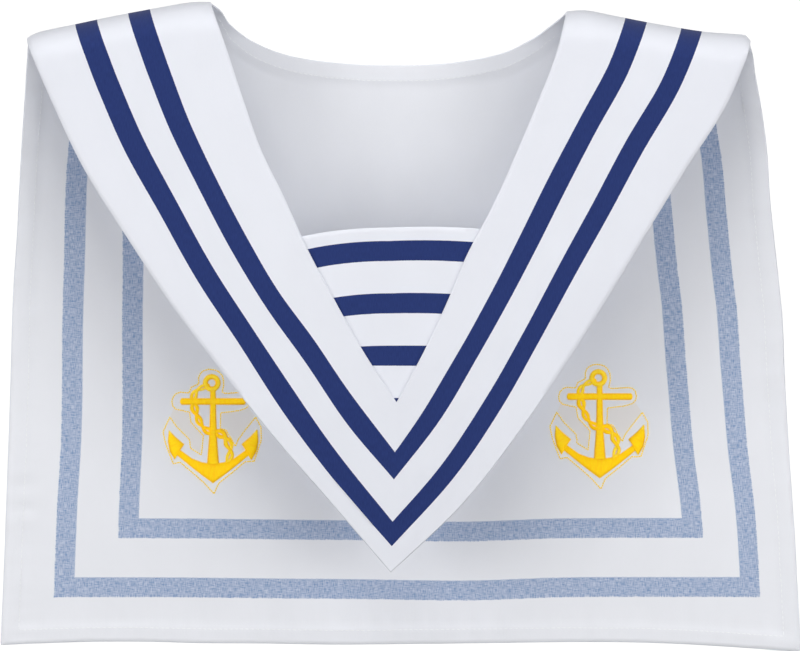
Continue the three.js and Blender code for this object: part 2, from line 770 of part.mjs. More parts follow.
// An anchor lies flat against the panel: its plate is square to the mean outward
// direction, as near as the highest point of the cloth under it allows.
function anchorPiece(side, face) {
  const sign = sides[side].sign;
  const outlineShapes = [ringShape(), stockShape(), shankShape(), armsShape(), flukeShape(-1), flukeShape(1)];
  const flat = outlineShapes.map(flatPiece).reduce((sum, piece) => sum.add(piece));
  const geometry = toGeometry(flat);
  const x = sign * anchorSpacing / 2 + anchorShift;
  const z = -anchorDrop - anchorHeight * (0.5 + sides[side].anchorFall);
  const reach = anchorHeight / 2;
  const slopeX = (backY(x + reach, z) - backY(x - reach, z)) / (2 * reach);
  const slopeZ = (backY(x, z + reach) - backY(x, z - reach)) / (2 * reach);
  const out = new THREE.Vector3(-slopeX, 1, -slopeZ).normalize().multiplyScalar(face);
  const up = new THREE.Vector3(0, slopeZ, 1).normalize();
  const right = new THREE.Vector3().crossVectors(up, out).normalize();
  const centre = new THREE.Vector3(x, backY(x, z), z);
  const around = [];
  for (const row of back.grid) {
    for (const point of row) {
      const near = Math.max(Math.abs(point.x - x), Math.abs(point.z - z)) < anchorSurround * anchorHeight;
      if (near) around.push(new THREE.Vector3().subVectors(point, centre).dot(out));
    }
  }
  const rise = Math.max(0, ...around.filter((height) => height < anchorBend));
  const wall = face > 0 ? 0 : clothWall;
  const seat = wall + clearance + rise;
  const upright = new THREE.Vector3().crossVectors(out, right);
  const frame = new THREE.Matrix4().makeBasis(right, upright, out);
  frame.setPosition(centre.addScaledVector(out, seat));
  geometry.translate(0, -anchorHeight / 2, 0);
  geometry.applyMatrix4(frame);
  return facingOut(geometry);
}

const collar = new THREE.Group();
collar.add(namedMesh('back_panel', backPanel(), whiteCotton));
collar.add(namedMesh('front_panel', frontPanel(), whiteCotton));
collar.add(namedMesh('insert', insertPanel(), whiteCotton));
collar.add(namedMesh('front_inner_stripe', frontStripe(lapelLineNames.innerStripe), navyPrint));
collar.add(namedMesh('front_outer_stripe', frontStripe(lapelLineNames.outerStripe), navyPrint));
collar.add(namedMesh('back_outer_stripe', backStripe(outerBarColumn, outerBandRow), navyPrint));
collar.add(namedMesh('back_inner_stripe', backStripe(innerBarColumn, innerBandRow), navyPrint));
for (let k = 0; k < insertStripes; k += 1) {
  collar.add(namedMesh(`insert_stripe_${k + 1}`, insertStripe(k), navyPrint));
}
for (const side of ['left', 'right']) {
  collar.add(namedMesh(`${side}_anchor`, anchorPiece(side, 1), yellowThread));
  collar.add(namedMesh(`${side}_anchor_reverse`, anchorPiece(side, -1), yellowThread));
}

export default collar;
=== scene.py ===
import math

import bmesh
import bpy
from bpy.props import FloatProperty, FloatVectorProperty, PointerProperty
from bpy.types import Operator, Panel, PropertyGroup
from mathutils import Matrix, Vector, noise


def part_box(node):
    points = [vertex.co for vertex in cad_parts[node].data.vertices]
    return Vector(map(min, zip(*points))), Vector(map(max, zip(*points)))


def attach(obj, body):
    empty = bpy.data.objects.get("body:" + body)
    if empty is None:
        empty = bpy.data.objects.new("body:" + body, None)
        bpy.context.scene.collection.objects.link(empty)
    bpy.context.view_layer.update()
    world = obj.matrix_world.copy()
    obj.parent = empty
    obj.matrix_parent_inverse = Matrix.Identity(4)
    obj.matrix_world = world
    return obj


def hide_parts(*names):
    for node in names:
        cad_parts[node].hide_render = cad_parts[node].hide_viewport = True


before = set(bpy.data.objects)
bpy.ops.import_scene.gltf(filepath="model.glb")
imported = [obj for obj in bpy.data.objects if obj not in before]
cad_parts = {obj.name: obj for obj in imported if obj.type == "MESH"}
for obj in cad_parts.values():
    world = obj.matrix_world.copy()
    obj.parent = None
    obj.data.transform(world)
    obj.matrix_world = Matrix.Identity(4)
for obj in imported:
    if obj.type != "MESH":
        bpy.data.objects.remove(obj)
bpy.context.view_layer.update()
PANEL_LOW, PANEL_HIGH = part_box("back_panel")
FRONT_LOW, FRONT_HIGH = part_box("front_panel")

bl_info = {
    "name": "Sailor collar",
    "version": (1, 0, 0),
    "blender": (4, 5, 0),
    "location": "View3D > Sidebar > Collar",
    "description": "Cotton panels, stripes, hems, stitches and anchors of a sailor collar",
    "category": "Object",
}

BODY = "root"
SIDES = {"left": -1.0, "right": 1.0}


def table(columns, *rows):
    """Rows of values under named columns."""
    return [dict(zip(columns.split(), row)) for row in rows]


# The shoulder fold from the neck corner (along 0) to the tip (along 1): how far it lies
# below the origin, as a share of the shoulder drop.
FOLD_ROWS = table(
    "along left right",
    (0.00, 0.00, 0.26),
    (0.10, 0.01, 0.23),
    (0.25, 0.13, 0.37),
    (0.50, 0.36, 0.61),
    (0.75, 0.62, 0.81),
    (0.93, 0.81, 0.88),
    (0.975, 0.90, 0.91),
    (1.00, 0.98, 1.05),
)

# The lapels from the shoulder fold (along 0) to the middle of the V (along 1). inner is a
# share of half the neck width, outer of half the shoulder span. inner_stripe and
# outer_stripe are where each stripe ends, as shares of the lapel from its inner edge, and
# inner_width and outer_width are shares of the stripe's width.
LAPEL_COLUMNS = "along inner outer inner_stripe inner_width outer_stripe outer_width"
LAPEL_ROWS = {
    "left": table(
        LAPEL_COLUMNS,
        (0.000, 1.014, 1.006, 0.448, 1.10, 0.737, 1.09),
        (0.125, 0.918, 0.926, 0.452, 1.10, 0.742, 1.11),
        (0.250, 0.825, 0.838, 0.455, 1.05, 0.745, 1.10),
        (0.375, 0.725, 0.722, 0.457, 1.00, 0.750, 1.03),
        (0.500, 0.590, 0.600, 0.475, 1.01, 0.774, 1.02),
        (0.625, 0.461, 0.461, 0.479, 0.98, 0.791, 1.01),
        (0.750, 0.311, 0.316, 0.464, 1.04, 0.834, 1.10),
        (0.875, 0.153, 0.157, 0.484, 1.10, 0.865, 0.99),
        (1.000, -0.031, 0.000, 0.452, 0.92, 0.849, 0.83),
    ),
    "right": table(
        LAPEL_COLUMNS,
        (0.000, 0.986, 0.994, 0.436, 1.07, 0.735, 1.02),
        (0.125, 0.916, 0.918, 0.413, 1.04, 0.719, 0.98),
        (0.250, 0.810, 0.802, 0.399, 1.01, 0.717, 0.99),
        (0.375, 0.695, 0.689, 0.397, 1.04, 0.729, 0.98),
        (0.500, 0.572, 0.579, 0.404, 1.04, 0.732, 0.95),
        (0.625, 0.427, 0.462, 0.425, 1.01, 0.761, 0.93),
        (0.750, 0.310, 0.336, 0.423, 1.01, 0.792, 0.96),
        (0.875, 0.180, 0.191, 0.439, 1.10, 0.818, 0.95),
        (1.000, 0.031, 0.000, 0.452, 0.95, 0.849, 0.87),
    ),
}

# The neckline at the back from the left corner (along 0) to the right corner: place across
# as a share of half the neck width, drop as a share of the neckline's depth.
NECK_ROWS = table(
    "along across drop",
    (0.00, -1.014, 0.00),
    (0.05, -0.958, 0.115),
    (0.10, -0.912, 0.32),
    (0.20, -0.775, 0.62),
    (0.32, -0.560, 0.85),
    (0.43, -0.260, 0.97),
    (0.53, 0.040, 1.00),
    (0.64, 0.335, 0.96),
    (0.75, 0.618, 0.81),
    (0.86, 0.800, 0.56),
    (0.94, 0.905, 0.34),
    (1.00, 0.986, 0.16),
)

# The sides of the back panel from the shoulder tip (down 0) to the bottom corner: how much
# of the flare from the shoulder to the bottom width is reached.
FLARE_ROWS = table(
    "down left right",
    (0.00, 0.00, 0.00),
    (0.02, 0.035, 0.07),
    (0.05, 0.08, 0.12),
    (0.11, 0.155, 0.24),
    (0.18, 0.25, 0.345),
    (0.26, 0.345, 0.405),
    (0.32, 0.415, 0.48),
    (0.41, 0.555, 0.60),
    (0.46, 0.605, 0.66),
    (0.56, 0.675, 0.715),
    (0.71, 0.78, 0.815),
    (0.82, 0.86, 0.90),
    (0.92, 0.935, 0.955),
    (1.00, 1.00, 1.00),
)

# How far the stripes at the sides of the back stand inwards, as a share of the hem's width.
SWAY_ROWS = table(
    "down left right",
    (0.00, 0.00, 0.00),
    (0.15, -0.08, 0.12),
    (0.24, -0.20, -0.04),
    (0.31, -0.18, 0.03),
    (0.40, -0.04, 0.14),
    (0.50, 0.00, 0.12),
    (0.60, 0.08, 0.035),
    (0.68, 0.10, -0.02),
    (0.78, 0.00, -0.19),
    (1.00, -0.02, -0.18),
)

# How far the stripes along the bottom droop, as a share of the bottom border.
DROOP_ROWS = table(
    "across droop",
    (0.00, 0.085),
    (0.20, 0.085),
    (0.42, 0.110),
    (0.58, 0.135),
    (0.70, 0.065),
    (0.85, 0.045),
    (1.00, 0.030),
)

# The bottom edge from left to right: its length below the origin as a share of the panel's.
BOTTOM_ROWS = table(
    "across length",
    (0.00, 1.0023),
    (0.10, 0.9987),
    (0.18, 0.9986),
    (0.25, 1.0007),
    (0.33, 1.001),
    (0.43, 1.0033),
    (0.55, 1.0018),
    (0.70, 0.9991),
    (0.78, 0.9994),
    (0.86, 1.0025),
    (1.00, 1.0125),
)

# Borders, gaps and bottom widths of the back differ a little between its sides.
BACK_SIDES = {
    "left": {"border": 1.13, "gap": 1.12, "bottom": 0.975},
    "right": {"border": 0.87, "gap": 0.88, "bottom": 1.022},
}
# How far the ends of the insert's top edge sag, and how much its right half stands up, as
# shares of its bow; how much lower an anchor lies, in metres; and where the back's tuck
# under the shoulders starts and ends, as shares of the panel's length.
INSERT_SAG = {"left": 1.1, "right": 0.65}
INSERT_TILT = 0.5
ANCHOR_FALL = {"left": 0.0027, "right": 0.0}
TUCK = {"start": 0.17, "end": 0.66}

# The bands along the bottom of the back: how far down they lie on the right, as a share of
# the panel's length, and how much of the shoulder drop they rise there.
BANDS = {"fall": 1.013, "rise": 1 / 6}

# The insert, in metres: how far it runs on below the notch, the height of its mesh rows,
# the width it is cut to and the gap between it and the lapels.
INSERT = {"tail": 0.010, "cell": 0.0022, "flat_width": 0.116, "seat": 0.0004}

# Noise on the hanging cloth, in blotches per metre across and down, and how strong the fine
# ripples are beside the broad ones. Puckers run along the seams of the sides and bottom.
RIPPLES = {"broad": (16, 7), "fine": (45, 22), "fine_share": 0.3}
PUCKERS = {"side": 150, "bottom": 130}
# The sway of the side stripes fades out to the edge over the first share of the half width
# and towards the middle over the second.
SWAY_FADE = {"edge": 0.12, "middle": 0.5}

# Cells of the meshes between key lines. A lapel from its inner edge: hem, white, stripe,
# white, stripe, white, hem. The back from its side: hem, white, stripe, white, stripe; and
# down to its bottom: body, stripe, white, stripe, white, hem.
LAPEL_CELLS = (5, 9, 4, 8, 4, 7, 4)
SIDE_CELLS = (4, 7, 4, 9, 4)
LEVEL_CELLS = (86, 4, 8, 4, 8, 5)
FOLD_CELLS = 12
CORNER_CELLS = 12
NECK_CELLS = 84
INSERT_CELLS = 40

# In metres: half the gap between front and back along the shoulder fold, and half the
# stretch over which a hem's thickness steps down to the cloth's.
FOLD_GAP = 0.00032
HEM_STEP = {"front": 0.0006, "back": 0.0005, "neck": 0.0006}
# How far a cloth's edge is rounded out, as a share of its thickness.
EDGE_BULGE = 0.45

# The softboxes around the collar: degrees to the right of the camera, degrees above the
# collar's middle, and power in watts.
SOFTBOXES = table(
    "name azimuth elevation power",
    ("low left", -25, 5, 2.5),
    ("low right", 25, 5, 3.3),
    ("wide left", -50, 5, 10.1),
    ("wide right", 50, 5, 9.2),
    ("high", 0, 30, 3.5),
    ("high left", -25, 55, 1.4),
    ("top", 0, 78, 9.6),
    ("below", 0, -25, 3.3),
    ("behind left", -150, 5, 12.0),
    ("behind right", 150, 5, 12.0),
)

# The rails between which the satin threads of an anchor are laid, as shares of its height
# out from its middle and up from its crown tip. Mirrored columns lie on both sides.
STOCK_RAILS = table(
    "a b",
    ((-0.300, 0.762), (-0.300, 0.742)),
    ((-0.288, 0.783), (-0.288, 0.722)),
    ((0.288, 0.783), (0.288, 0.722)),
    ((0.300, 0.762), (0.300, 0.742)),
)
SHANK_RAILS = table(
    "a b",
    ((-0.022, 0.850), (0.022, 0.850)),
    ((-0.026, 0.600), (0.026, 0.600)),
    ((-0.034, 0.400), (0.034, 0.400)),
    ((-0.052, 0.185), (0.052, 0.185)),
)
ARM_RAILS = table(
    "a b",
    ((0.325, 0.330), (0.325, 0.258)),
    ((0.270, 0.292), (0.262, 0.205)),
    ((0.190, 0.235), (0.182, 0.140)),
    ((0.100, 0.203), (0.096, 0.072)),
    ((0.000, 0.190), (0.000, 0.000)),
)
FLUKE_RAILS = table(
    "a b",
    ((0.402, 0.492), (0.403, 0.488)),
    ((0.345, 0.432), (0.411, 0.390)),
    ((0.262, 0.362), (0.396, 0.300)),
    ((0.298, 0.309), (0.349, 0.222)),
)
ROPE_ROUTE = table(
    "at half",
    ((-0.030, 0.905), 0.022),
    ((-0.095, 0.880), 0.028),
    ((-0.155, 0.845), 0.032),
    ((-0.180, 0.780), 0.032),
    ((-0.170, 0.700), 0.034),
    ((-0.145, 0.620), 0.040),
    ((-0.110, 0.545), 0.038),
    ((-0.050, 0.485), 0.030),
    ((0.045, 0.465), 0.032),
    ((0.105, 0.430), 0.040),
    ((0.150, 0.350), 0.044),
    ((0.158, 0.270), 0.044),
    ((0.125, 0.195), 0.030),
)

RING = {"centre": (-0.012, 0.922), "outer": 0.078, "inner": 0.038, "steps": 24}
# The rope's strands swing and spread by these shares of its half width, once round in
# so many of its steps.
STRANDS = {"swing": 0.60, "half": 0.47, "turn": 24, "steps": 96}

# How the print ends on the cotton's face and where it shows through on the reverse, in
# metres: how far its edge frays along the threads, and how soft it is.
PRINT_EDGES = {
    "face": {"fray": 0.0002, "soft": 0.00006},
    "reverse": {"fray": 0.0007, "soft": 0.0002},
}
# Thread-like blotches per metre across and along the threads, and the weave's pitch.
THREAD_NOISE = (2400.0, 300.0)
WEAVE_PITCH = 0.00036

# The dotted outline of running stitches around an anchor, once round.
CONTOUR_POINTS = (
    (-0.026, 1.046), (0.016, 1.041), (0.050, 1.025), (0.078, 0.996), (0.094, 0.960),
    (0.097, 0.900), (0.082, 0.838), (0.110, 0.826), (0.256, 0.835), (0.297, 0.829),
    (0.322, 0.806), (0.335, 0.757), (0.326, 0.718), (0.300, 0.690), (0.230, 0.668),
    (0.070, 0.648), (0.066, 0.505), (0.118, 0.492), (0.205, 0.345),
    (0.230, 0.405), (0.300, 0.500), (0.388, 0.608), (0.437, 0.520), (0.440, 0.400),
    (0.375, 0.207), (0.291, 0.203), (0.170, 0.100), (0.053, 0.009), (0.009, -0.088),
    (-0.080, 0.009), (-0.170, 0.090), (-0.300, 0.199), (-0.362, 0.185), (-0.433, 0.371),
    (-0.455, 0.477), (-0.393, 0.610), (-0.330, 0.520), (-0.215, 0.406), (-0.206, 0.327),
    (-0.106, 0.265), (-0.088, 0.440), (-0.200, 0.560), (-0.215, 0.655), (-0.344, 0.684),
    (-0.370, 0.716), (-0.375, 0.759), (-0.362, 0.797), (-0.338, 0.822), (-0.300, 0.838),
    (-0.220, 0.830), (-0.200, 0.880), (-0.130, 0.915), (-0.132, 0.970), (-0.118, 1.004),
    (-0.095, 1.028), (-0.062, 1.042),
)

# What is left of the backing between the stitches on the inside: two patches, once round.
BACKING_PATCHES = (
    {"middle": (-0.220, 0.550), "round": (
        (-0.356, 0.690), (-0.215, 0.655), (-0.200, 0.560), (-0.088, 0.440), (-0.106, 0.265),
        (-0.206, 0.327), (-0.215, 0.406), (-0.330, 0.520), (-0.393, 0.610),
    )},
    {"middle": (0.200, 0.560), "round": (
        (0.318, 0.705), (0.230, 0.668), (0.070, 0.648), (0.066, 0.505), (0.118, 0.492),
        (0.205, 0.345), (0.230, 0.405), (0.300, 0.500), (0.388, 0.608),
    )},
)


def read_table(rows, key, column, at):
    """A smooth line through one column of a table."""
    last = len(rows) - 1
    k = 0
    while k < last - 1 and at > rows[k + 1][key]:
        k += 1
    a, b = rows[k], rows[k + 1]
    before, after = rows[max(k - 1, 0)], rows[min(k + 2, last)]
    span = b[key] - a[key]
    t = min(max((at - a[key]) / span, 0.0), 1.0)
    start = (b[column] - before[column]) / (b[key] - before[key]) * span
    end = (after[column] - a[column]) / (after[key] - a[key]) * span
    t2, t3 = t * t, t * t * t
    return (
        (2 * t3 - 3 * t2 + 1) * a[column]
        + (t3 - 2 * t2 + t) * start
        + (3 * t2 - 2 * t3) * b[column]
        + (t3 - t2) * end
    )


def mix(a, b, t):
    return a + (b - a) * t


def clamp(value, low=0.0, high=1.0):
    return min(max(value, low), high)


def ramp(value, start, end):
    """0 before start, 1 after end, smooth between them."""
    t = clamp((value - start) / (end - start))
    return t * t * (3 - 2 * t)


def steps(a, b, count):
    """count places from a towards b, b left out."""
    return [mix(a, b, k / count) for k in range(count)]


def metres(name, description, default):
    return FloatProperty(name=name, description=description, default=default, unit="LENGTH")


def tint(name, description, default):
    return FloatVectorProperty(
        name=name, description=description, default=default, subtype="COLOR", min=0, max=1
    )


class CollarOutline(PropertyGroup):
    """Outline of the hanging collar"""

    neck_width: metres("Neck width", "Between the neck corners", 0.194)
    shoulder_span: metres(
        "Shoulder span", "Between the tips of the shoulder fold", FRONT_HIGH.x - FRONT_LOW.x
    )
    shoulder_drop: metres("Shoulder drop", "From the neck corner down to the tip", 0.020)
    neck_drop: metres("Neckline depth", "Depth of the neckline at the back", 0.0335)
    opening_depth: metres("Opening depth", "From the neck down to the notch of the V", 0.2178)
    point_depth: metres("Point depth", "From the neck down to the tip of the V", -FRONT_LOW.z)
    panel_width: metres(
        "Panel width", "Bottom width of the back panel", PANEL_HIGH.x - PANEL_LOW.x
    )
    panel_length: metres("Panel length", "From the neck down to the bottom edge", 0.350)
    insert_depth: metres("Insert depth", "From the neck down to the top of the insert", 0.124)
    insert_bow: metres("Insert bow", "How far the insert's top edge sags at its sides", 0.0045)


class CollarDrape(PropertyGroup):
    """How the cloth hangs"""

    fold_height: metres("Fold height", "Height of the turn over the shoulder", 0.018)
    front_depth: metres("Front depth", "From the fold forward to the lapels", 0.027)
    back_depth: metres("Back depth", "From the fold back to the panel", 0.024)
    chest_swell: metres("Chest swell", "Extra depth over the chest", 0.005)
    back_swell: metres("Back swell", "Extra depth over the back", 0.004)
    side_fall: metres("Side fall", "Depth lost at the sides", 0.003)
    hem_wave: metres("Hem wave", "Waves of the bottom edge", 0.0016)
    wave_length: metres("Wave length", "Length of those waves", 0.150)
    corner_curl: metres("Corner curl", "How far the bottom corners curl forward", 0.003)
    tuck: metres("Shoulder tuck", "How much closer the back hangs at the shoulder tips", 0.020)
    ripple: metres("Ripple", "Soft unevenness of the cloth", 0.0012)
    pucker: metres("Pucker", "Small dents along the seams", 0.0007)


class CollarCloth(PropertyGroup):
    """Cloth, hems and stripes"""

    wall: metres("Cloth", "Thickness of the cotton", 0.0005)
    hem_wall: metres("Hem", "Thickness of a hem", 0.0012)
    hem_width: metres("Hem width", "Width of the hems", 0.009)
    lapel_width: metres("Lapel width", "Width of a lapel at the shoulder", 0.101)
    stripe_width: metres("Stripe", "Width of a stripe", 0.0108)
    border: metres("Border", "White border outside the outer stripe", 0.0268)
    stripe_gap: metres("Gap", "White between the stripes", 0.0216)
    side_border: metres("Side border", "White border at the sides of the back", 0.0245)
    bottom_border: metres("Bottom border", "White border at the bottom of the back", 0.027)
    insert_stripe: metres("Insert stripe", "Width of the insert's stripes", 0.0108)
    insert_pitch: metres("Insert pitch", "From one stripe of the insert to the next", 0.0281)
    insert_start: metres("Insert start", "White above the insert's first stripe", 0.0067)
    insert_overlap: metres("Insert overlap", "Insert hidden behind each lapel", 0.010)
    cell: metres("Cell", "Size of the mesh's cells", 0.0027)
    stitch: metres("Stitch", "Length of a seam stitch", 0.0026)
    seam_thread: metres("Seam thread", "Thickness of the seam thread", 0.00027)


class CollarAnchors(PropertyGroup):
    """The embroidered anchors"""

    height: metres("Height", "Height of an anchor", 0.0604)
    drop: metres("Drop", "From the neck down to an anchor", 0.2003)
    spacing: metres("Spacing", "Between the two anchors", 0.213)
    shift: metres("Shift", "Sideways place of the pair", 0.0084)
    thread: metres("Thread", "From one satin thread to the next", 0.00042)
    lift: metres("Lift", "How far the satin stands proud", 0.0007)


class CollarColours(PropertyGroup):
    """Colours of cloth and thread"""

    white: tint("White", "Bleached cotton", (0.83, 0.846, 0.908))
    inside: tint("White inside", "The cotton's inner face", (0.862, 0.873, 0.916))
    navy: tint("Navy", "Printed stripes", (0.012, 0.0263, 0.122))
    washed: tint("Washed blue", "The print seen through the cloth", (0.207, 0.315, 0.540))
    yellow: tint("Yellow", "Embroidery thread", (1.0, 0.62, 0.008))
    backing: tint("Backing", "Backing left between the stitches", (0.86, 0.832, 0.815))


class CollarStudio(PropertyGroup):
    """Camera and light"""

    distance: metres("Camera distance", "From the camera to the shoulder fold", 2.2)
    view_width: metres("View width", "Width seen at the shoulder fold", 0.4355)
    aim_across: metres("Aim across", "The camera's place across", 0.0049)
    aim_up: metres("Aim up", "The camera's height", -0.1761)
    floor: metres("Floor", "Height of the floor", -0.95)
    floor_size: metres("Floor size", "Side of the floor", 12.0)
    backdrop_radius: metres("Backdrop radius", "Radius of the white round backdrop", 10.0)
    light_distance: metres("Light distance", "From the collar to each softbox", 1.7)
    light_size: metres("Light size", "Side of each softbox", 0.8)
    fill: FloatProperty(
        name="Fill", description="Strength of the light from all around", default=0.1
    )


class Drape:
    """Places points of the cloth in the frame, in metres."""

    def __init__(self, scene):
        self.size = scene.collar_outline
        self.hang = scene.collar_drape
        self.cloth = scene.collar_cloth

    def corner_x(self, side):
        return self.size.neck_width / 2 * LAPEL_ROWS[side][0]["inner"]

    def tip_x(self, side):
        return self.size.shoulder_span / 2 * LAPEL_ROWS[side][0]["outer"]

    def fold_line(self, x):
        """Height of the shoulder fold, carried straight across the neck between its corners."""
        side = "left" if x < 0 else "right"
        reach = (abs(x) - self.corner_x(side)) / (self.tip_x(side) - self.corner_x(side))
        drop = self.size.shoulder_drop
        if reach >= 0:
            return -drop * read_table(FOLD_ROWS, "along", side, min(reach, 1.0))
        share = (x + self.corner_x("left")) / (self.corner_x("left") + self.corner_x("right"))
        return -drop * mix(FOLD_ROWS[0]["left"], FOLD_ROWS[0]["right"], share)

    def turn(self, x, z):
        """The turn over the fold, a quarter ellipse: 0 on the fold, 1 below it."""
        down = clamp((self.fold_line(x) - z) / self.hang.fold_height)
        return math.sqrt(1 - (1 - down) ** 2)

    def ripple(self, x, z, seed):
        """Soft unevenness of hanging cloth, longer downwards than across."""
        across, down = RIPPLES["broad"]
        broad = noise.noise(Vector((x * across, z * down, seed)))
        across, down = RIPPLES["fine"]
        fine = noise.noise(Vector((x * across, z * down, seed + 5)))
        return self.hang.ripple * (broad + RIPPLES["fine_share"] * fine)

    def front_y(self, x, z):
        hang = self.hang
        across = (2 * x / self.size.shoulder_span) ** 2
        swell = math.sin(math.pi * clamp(-z / self.size.point_depth))
        depth = hang.front_depth + hang.chest_swell * swell * (1 - across) - hang.side_fall * across
        return -(depth + self.ripple(x, z, 3.0)) * self.turn(x, z)

    def back_y(self, x, z):
        hang = self.hang
        across = (2 * x / self.size.panel_width) ** 2
        down = clamp(-z / self.size.panel_length)
        swell = math.sin(math.pi * down)
        low = down**2
        wave = hang.hem_wave * low * math.cos(2 * math.pi * x / hang.wave_length)
        curl = hang.corner_curl * low**2 * across**2
        tuck = hang.tuck * (1 - ramp(down, TUCK["start"], TUCK["end"])) * across**2
        depth = hang.back_depth + hang.back_swell * swell * (1 - across) - hang.side_fall * across
        depth = depth + wave - curl - tuck + self.ripple(x, z, 9.0) + self.puckers(x, z)
        return depth * self.turn(x, z)

    def puckers(self, x, z):
        """Dents that the hem seams draw into the back panel."""
        width = self.cloth.hem_width
        total = 0.0
        for side in SIDES:
            edge = self.panel_edge(side, clamp(-z / self.size.panel_length))
            from_seam = (abs(edge - x) - width) / width
            along = noise.noise(Vector((z * PUCKERS["side"], SIDES[side] * 4, 1.0)))
            total += along * math.exp(-(from_seam**2))
        from_bottom = (z + self.size.panel_length - width) / width
        along = noise.noise(Vector((x * PUCKERS["bottom"], 2.0, 7.0)))
        total += along * math.exp(-(from_bottom**2))
        return self.hang.pucker * total

    def front_point(self, x, z):
        return Vector((x, self.front_y(x, z), z))

    def back_point(self, x, z, lift=0.0):
        """A point of the back panel's outer face, or lifted off it along its outward direction."""
        reach = 0.0015
        slope_x = (self.back_y(x + reach, z) - self.back_y(x - reach, z)) / (2 * reach)
        slope_z = (self.back_y(x, z + reach) - self.back_y(x, z - reach)) / (2 * reach)
        out = Vector((-slope_x, 1.0, -slope_z)).normalized()
        return Vector((x, self.back_y(x, z), z)) + out * lift

    def lapel_edge(self, side, along, edge):
        """A lapel's inner or outer edge seen from the front: across and up."""
        share = read_table(LAPEL_ROWS[side], "along", edge, along)
        inner = edge == "inner"
        top = self.fold_line(SIDES[side] * (self.corner_x(side) if inner else self.tip_x(side)))
        half = self.size.neck_width / 2 if inner else self.size.shoulder_span / 2
        depth = self.size.opening_depth if inner else self.size.point_depth
        return Vector((SIDES[side] * share * half, mix(top, -depth, along)))

    def lapel_lines(self, side, along):
        """The lines along a lapel: (share from its inner edge, distance from its outer edge).
        The distance is the one of the flat cloth, so that the print can follow it."""
        cloth = self.cloth
        inner = self.lapel_edge(side, along, "inner")
        outer = self.lapel_edge(side, along, "outer")
        reach = 0.02
        ahead = self.lapel_edge(side, min(along + reach, 1.0), "outer")
        behind = self.lapel_edge(side, max(along - reach, 0.0), "outer")
        row, edge = outer - inner, (ahead - behind).normalized()
        square = abs(row.x * edge.y - row.y * edge.x)
        hem = cloth.hem_width / square
        inner_end, inner_width, outer_end, outer_width = (
            read_table(LAPEL_ROWS[side], "along", column, along)
            for column in ("inner_stripe", "inner_width", "outer_stripe", "outer_width")
        )
        inner_width *= cloth.stripe_width / square
        outer_width *= cloth.stripe_width / square
        first = cloth.border + cloth.stripe_width
        second = first + cloth.stripe_gap + cloth.stripe_width
        return [
            (0.0, cloth.lapel_width),
            (hem, cloth.lapel_width - cloth.hem_width),
            (inner_end - inner_width, second),
            (inner_end, second - cloth.stripe_width),
            (outer_end - outer_width, first),
            (outer_end, cloth.border),
            (1 - hem, cloth.hem_width),
            (1.0, 0.0),
        ]

    def lapel_point(self, side, along, across):
        """A point of the front. Its rows bend up to the fold line near the shoulder."""
        inner = self.lapel_edge(side, along, "inner")
        outer = self.lapel_edge(side, along, "outer")
        place = inner.lerp(outer, across)
        top = self.lapel_edge(side, 0.0, "inner").lerp(self.lapel_edge(side, 0.0, "outer"), across)
        lift = max(0.0, 1 - along * self.size.point_depth / (2 * self.hang.fold_height))
        z = place.y + lift * (self.fold_line(top.x) - top.y)
        return self.front_point(place.x, z)

    def panel_edge(self, side, down):
        """Place of the back panel's side at a share of its length."""
        bottom = self.size.panel_width / 2 * BACK_SIDES[side]["bottom"]
        flare = read_table(FLARE_ROWS, "down", side, down)
        return SIDES[side] * mix(self.tip_x(side), bottom, flare)

    def sway(self, side, down, x):
        """How far the cloth between hem and middle stands inwards."""
        out = x / self.panel_edge(side, down)
        free = clamp(min((1 - out) / SWAY_FADE["edge"], out / SWAY_FADE["middle"]))
        inwards = -SIDES[side] * read_table(SWAY_ROWS, "down", side, down)
        return inwards * self.cloth.hem_width * free

    def opening_x(self, side, z):
        """Place of a lapel's inner edge at a height."""
        top = self.fold_line(SIDES[side] * self.corner_x(side))
        along = clamp((top - z) / (top + self.size.opening_depth))
        return self.lapel_edge(side, along, "inner").x


class Sheet:
    """Rows of points on the outer face of a cloth. Each point carries its wall, its place in
    the print and its place in the weave, all in metres. outward is 1 or -1, by the way the
    rows run, and the points in square get a level normal."""

    def __init__(self, outward):
        self.outward = outward
        self.points = []
        self.walls = []
        self.prints = []
        self.weaves = []
        self.normals = []
        self.square = ()

    def add_row(self, points, walls, prints):
        self.points.append(points)
        self.walls.append(walls)
        self.prints.append(prints)

    def normal(self, i, j):
        rows, columns = len(self.points), len(self.points[0])
        down = self.points[min(i + 1, rows - 1)][j] - self.points[max(i - 1, 0)][j]
        row = self.points[i]
        across = row[min(j + 1, columns - 1)] - row[max(j - 1, 0)]
        normal = across.cross(down)
        if (i, j) in self.square:
            normal.y = 0.0
        return normal.normalized() * self.outward

    def finish_normals(self):
        self.normals = [
            [self.normal(i, j) for j in range(len(row))] for i, row in enumerate(self.points)
        ]

    def inside(self, i, j):
        return self.points[i][j] - self.normals[i][j] * self.walls[i][j]

    def weave_as_seen(self):
        """The weave runs straight down as seen from the front."""
        self.weaves = [[(point.x, point.z) for point in row] for row in self.points]

    def weave_along_cloth(self):
        """The weave follows the cloth up from its bottom edge: across is x."""
        self.weaves = [[None] * len(row) for row in self.points]
        for j in range(len(self.points[0])):
            last = self.points[-1][j]
            length = last.z
            for i in range(len(self.points) - 1, -1, -1):
                point = self.points[i][j]
                length += (point - last).length
                self.weaves[i][j] = (point.x, length)
                last = point


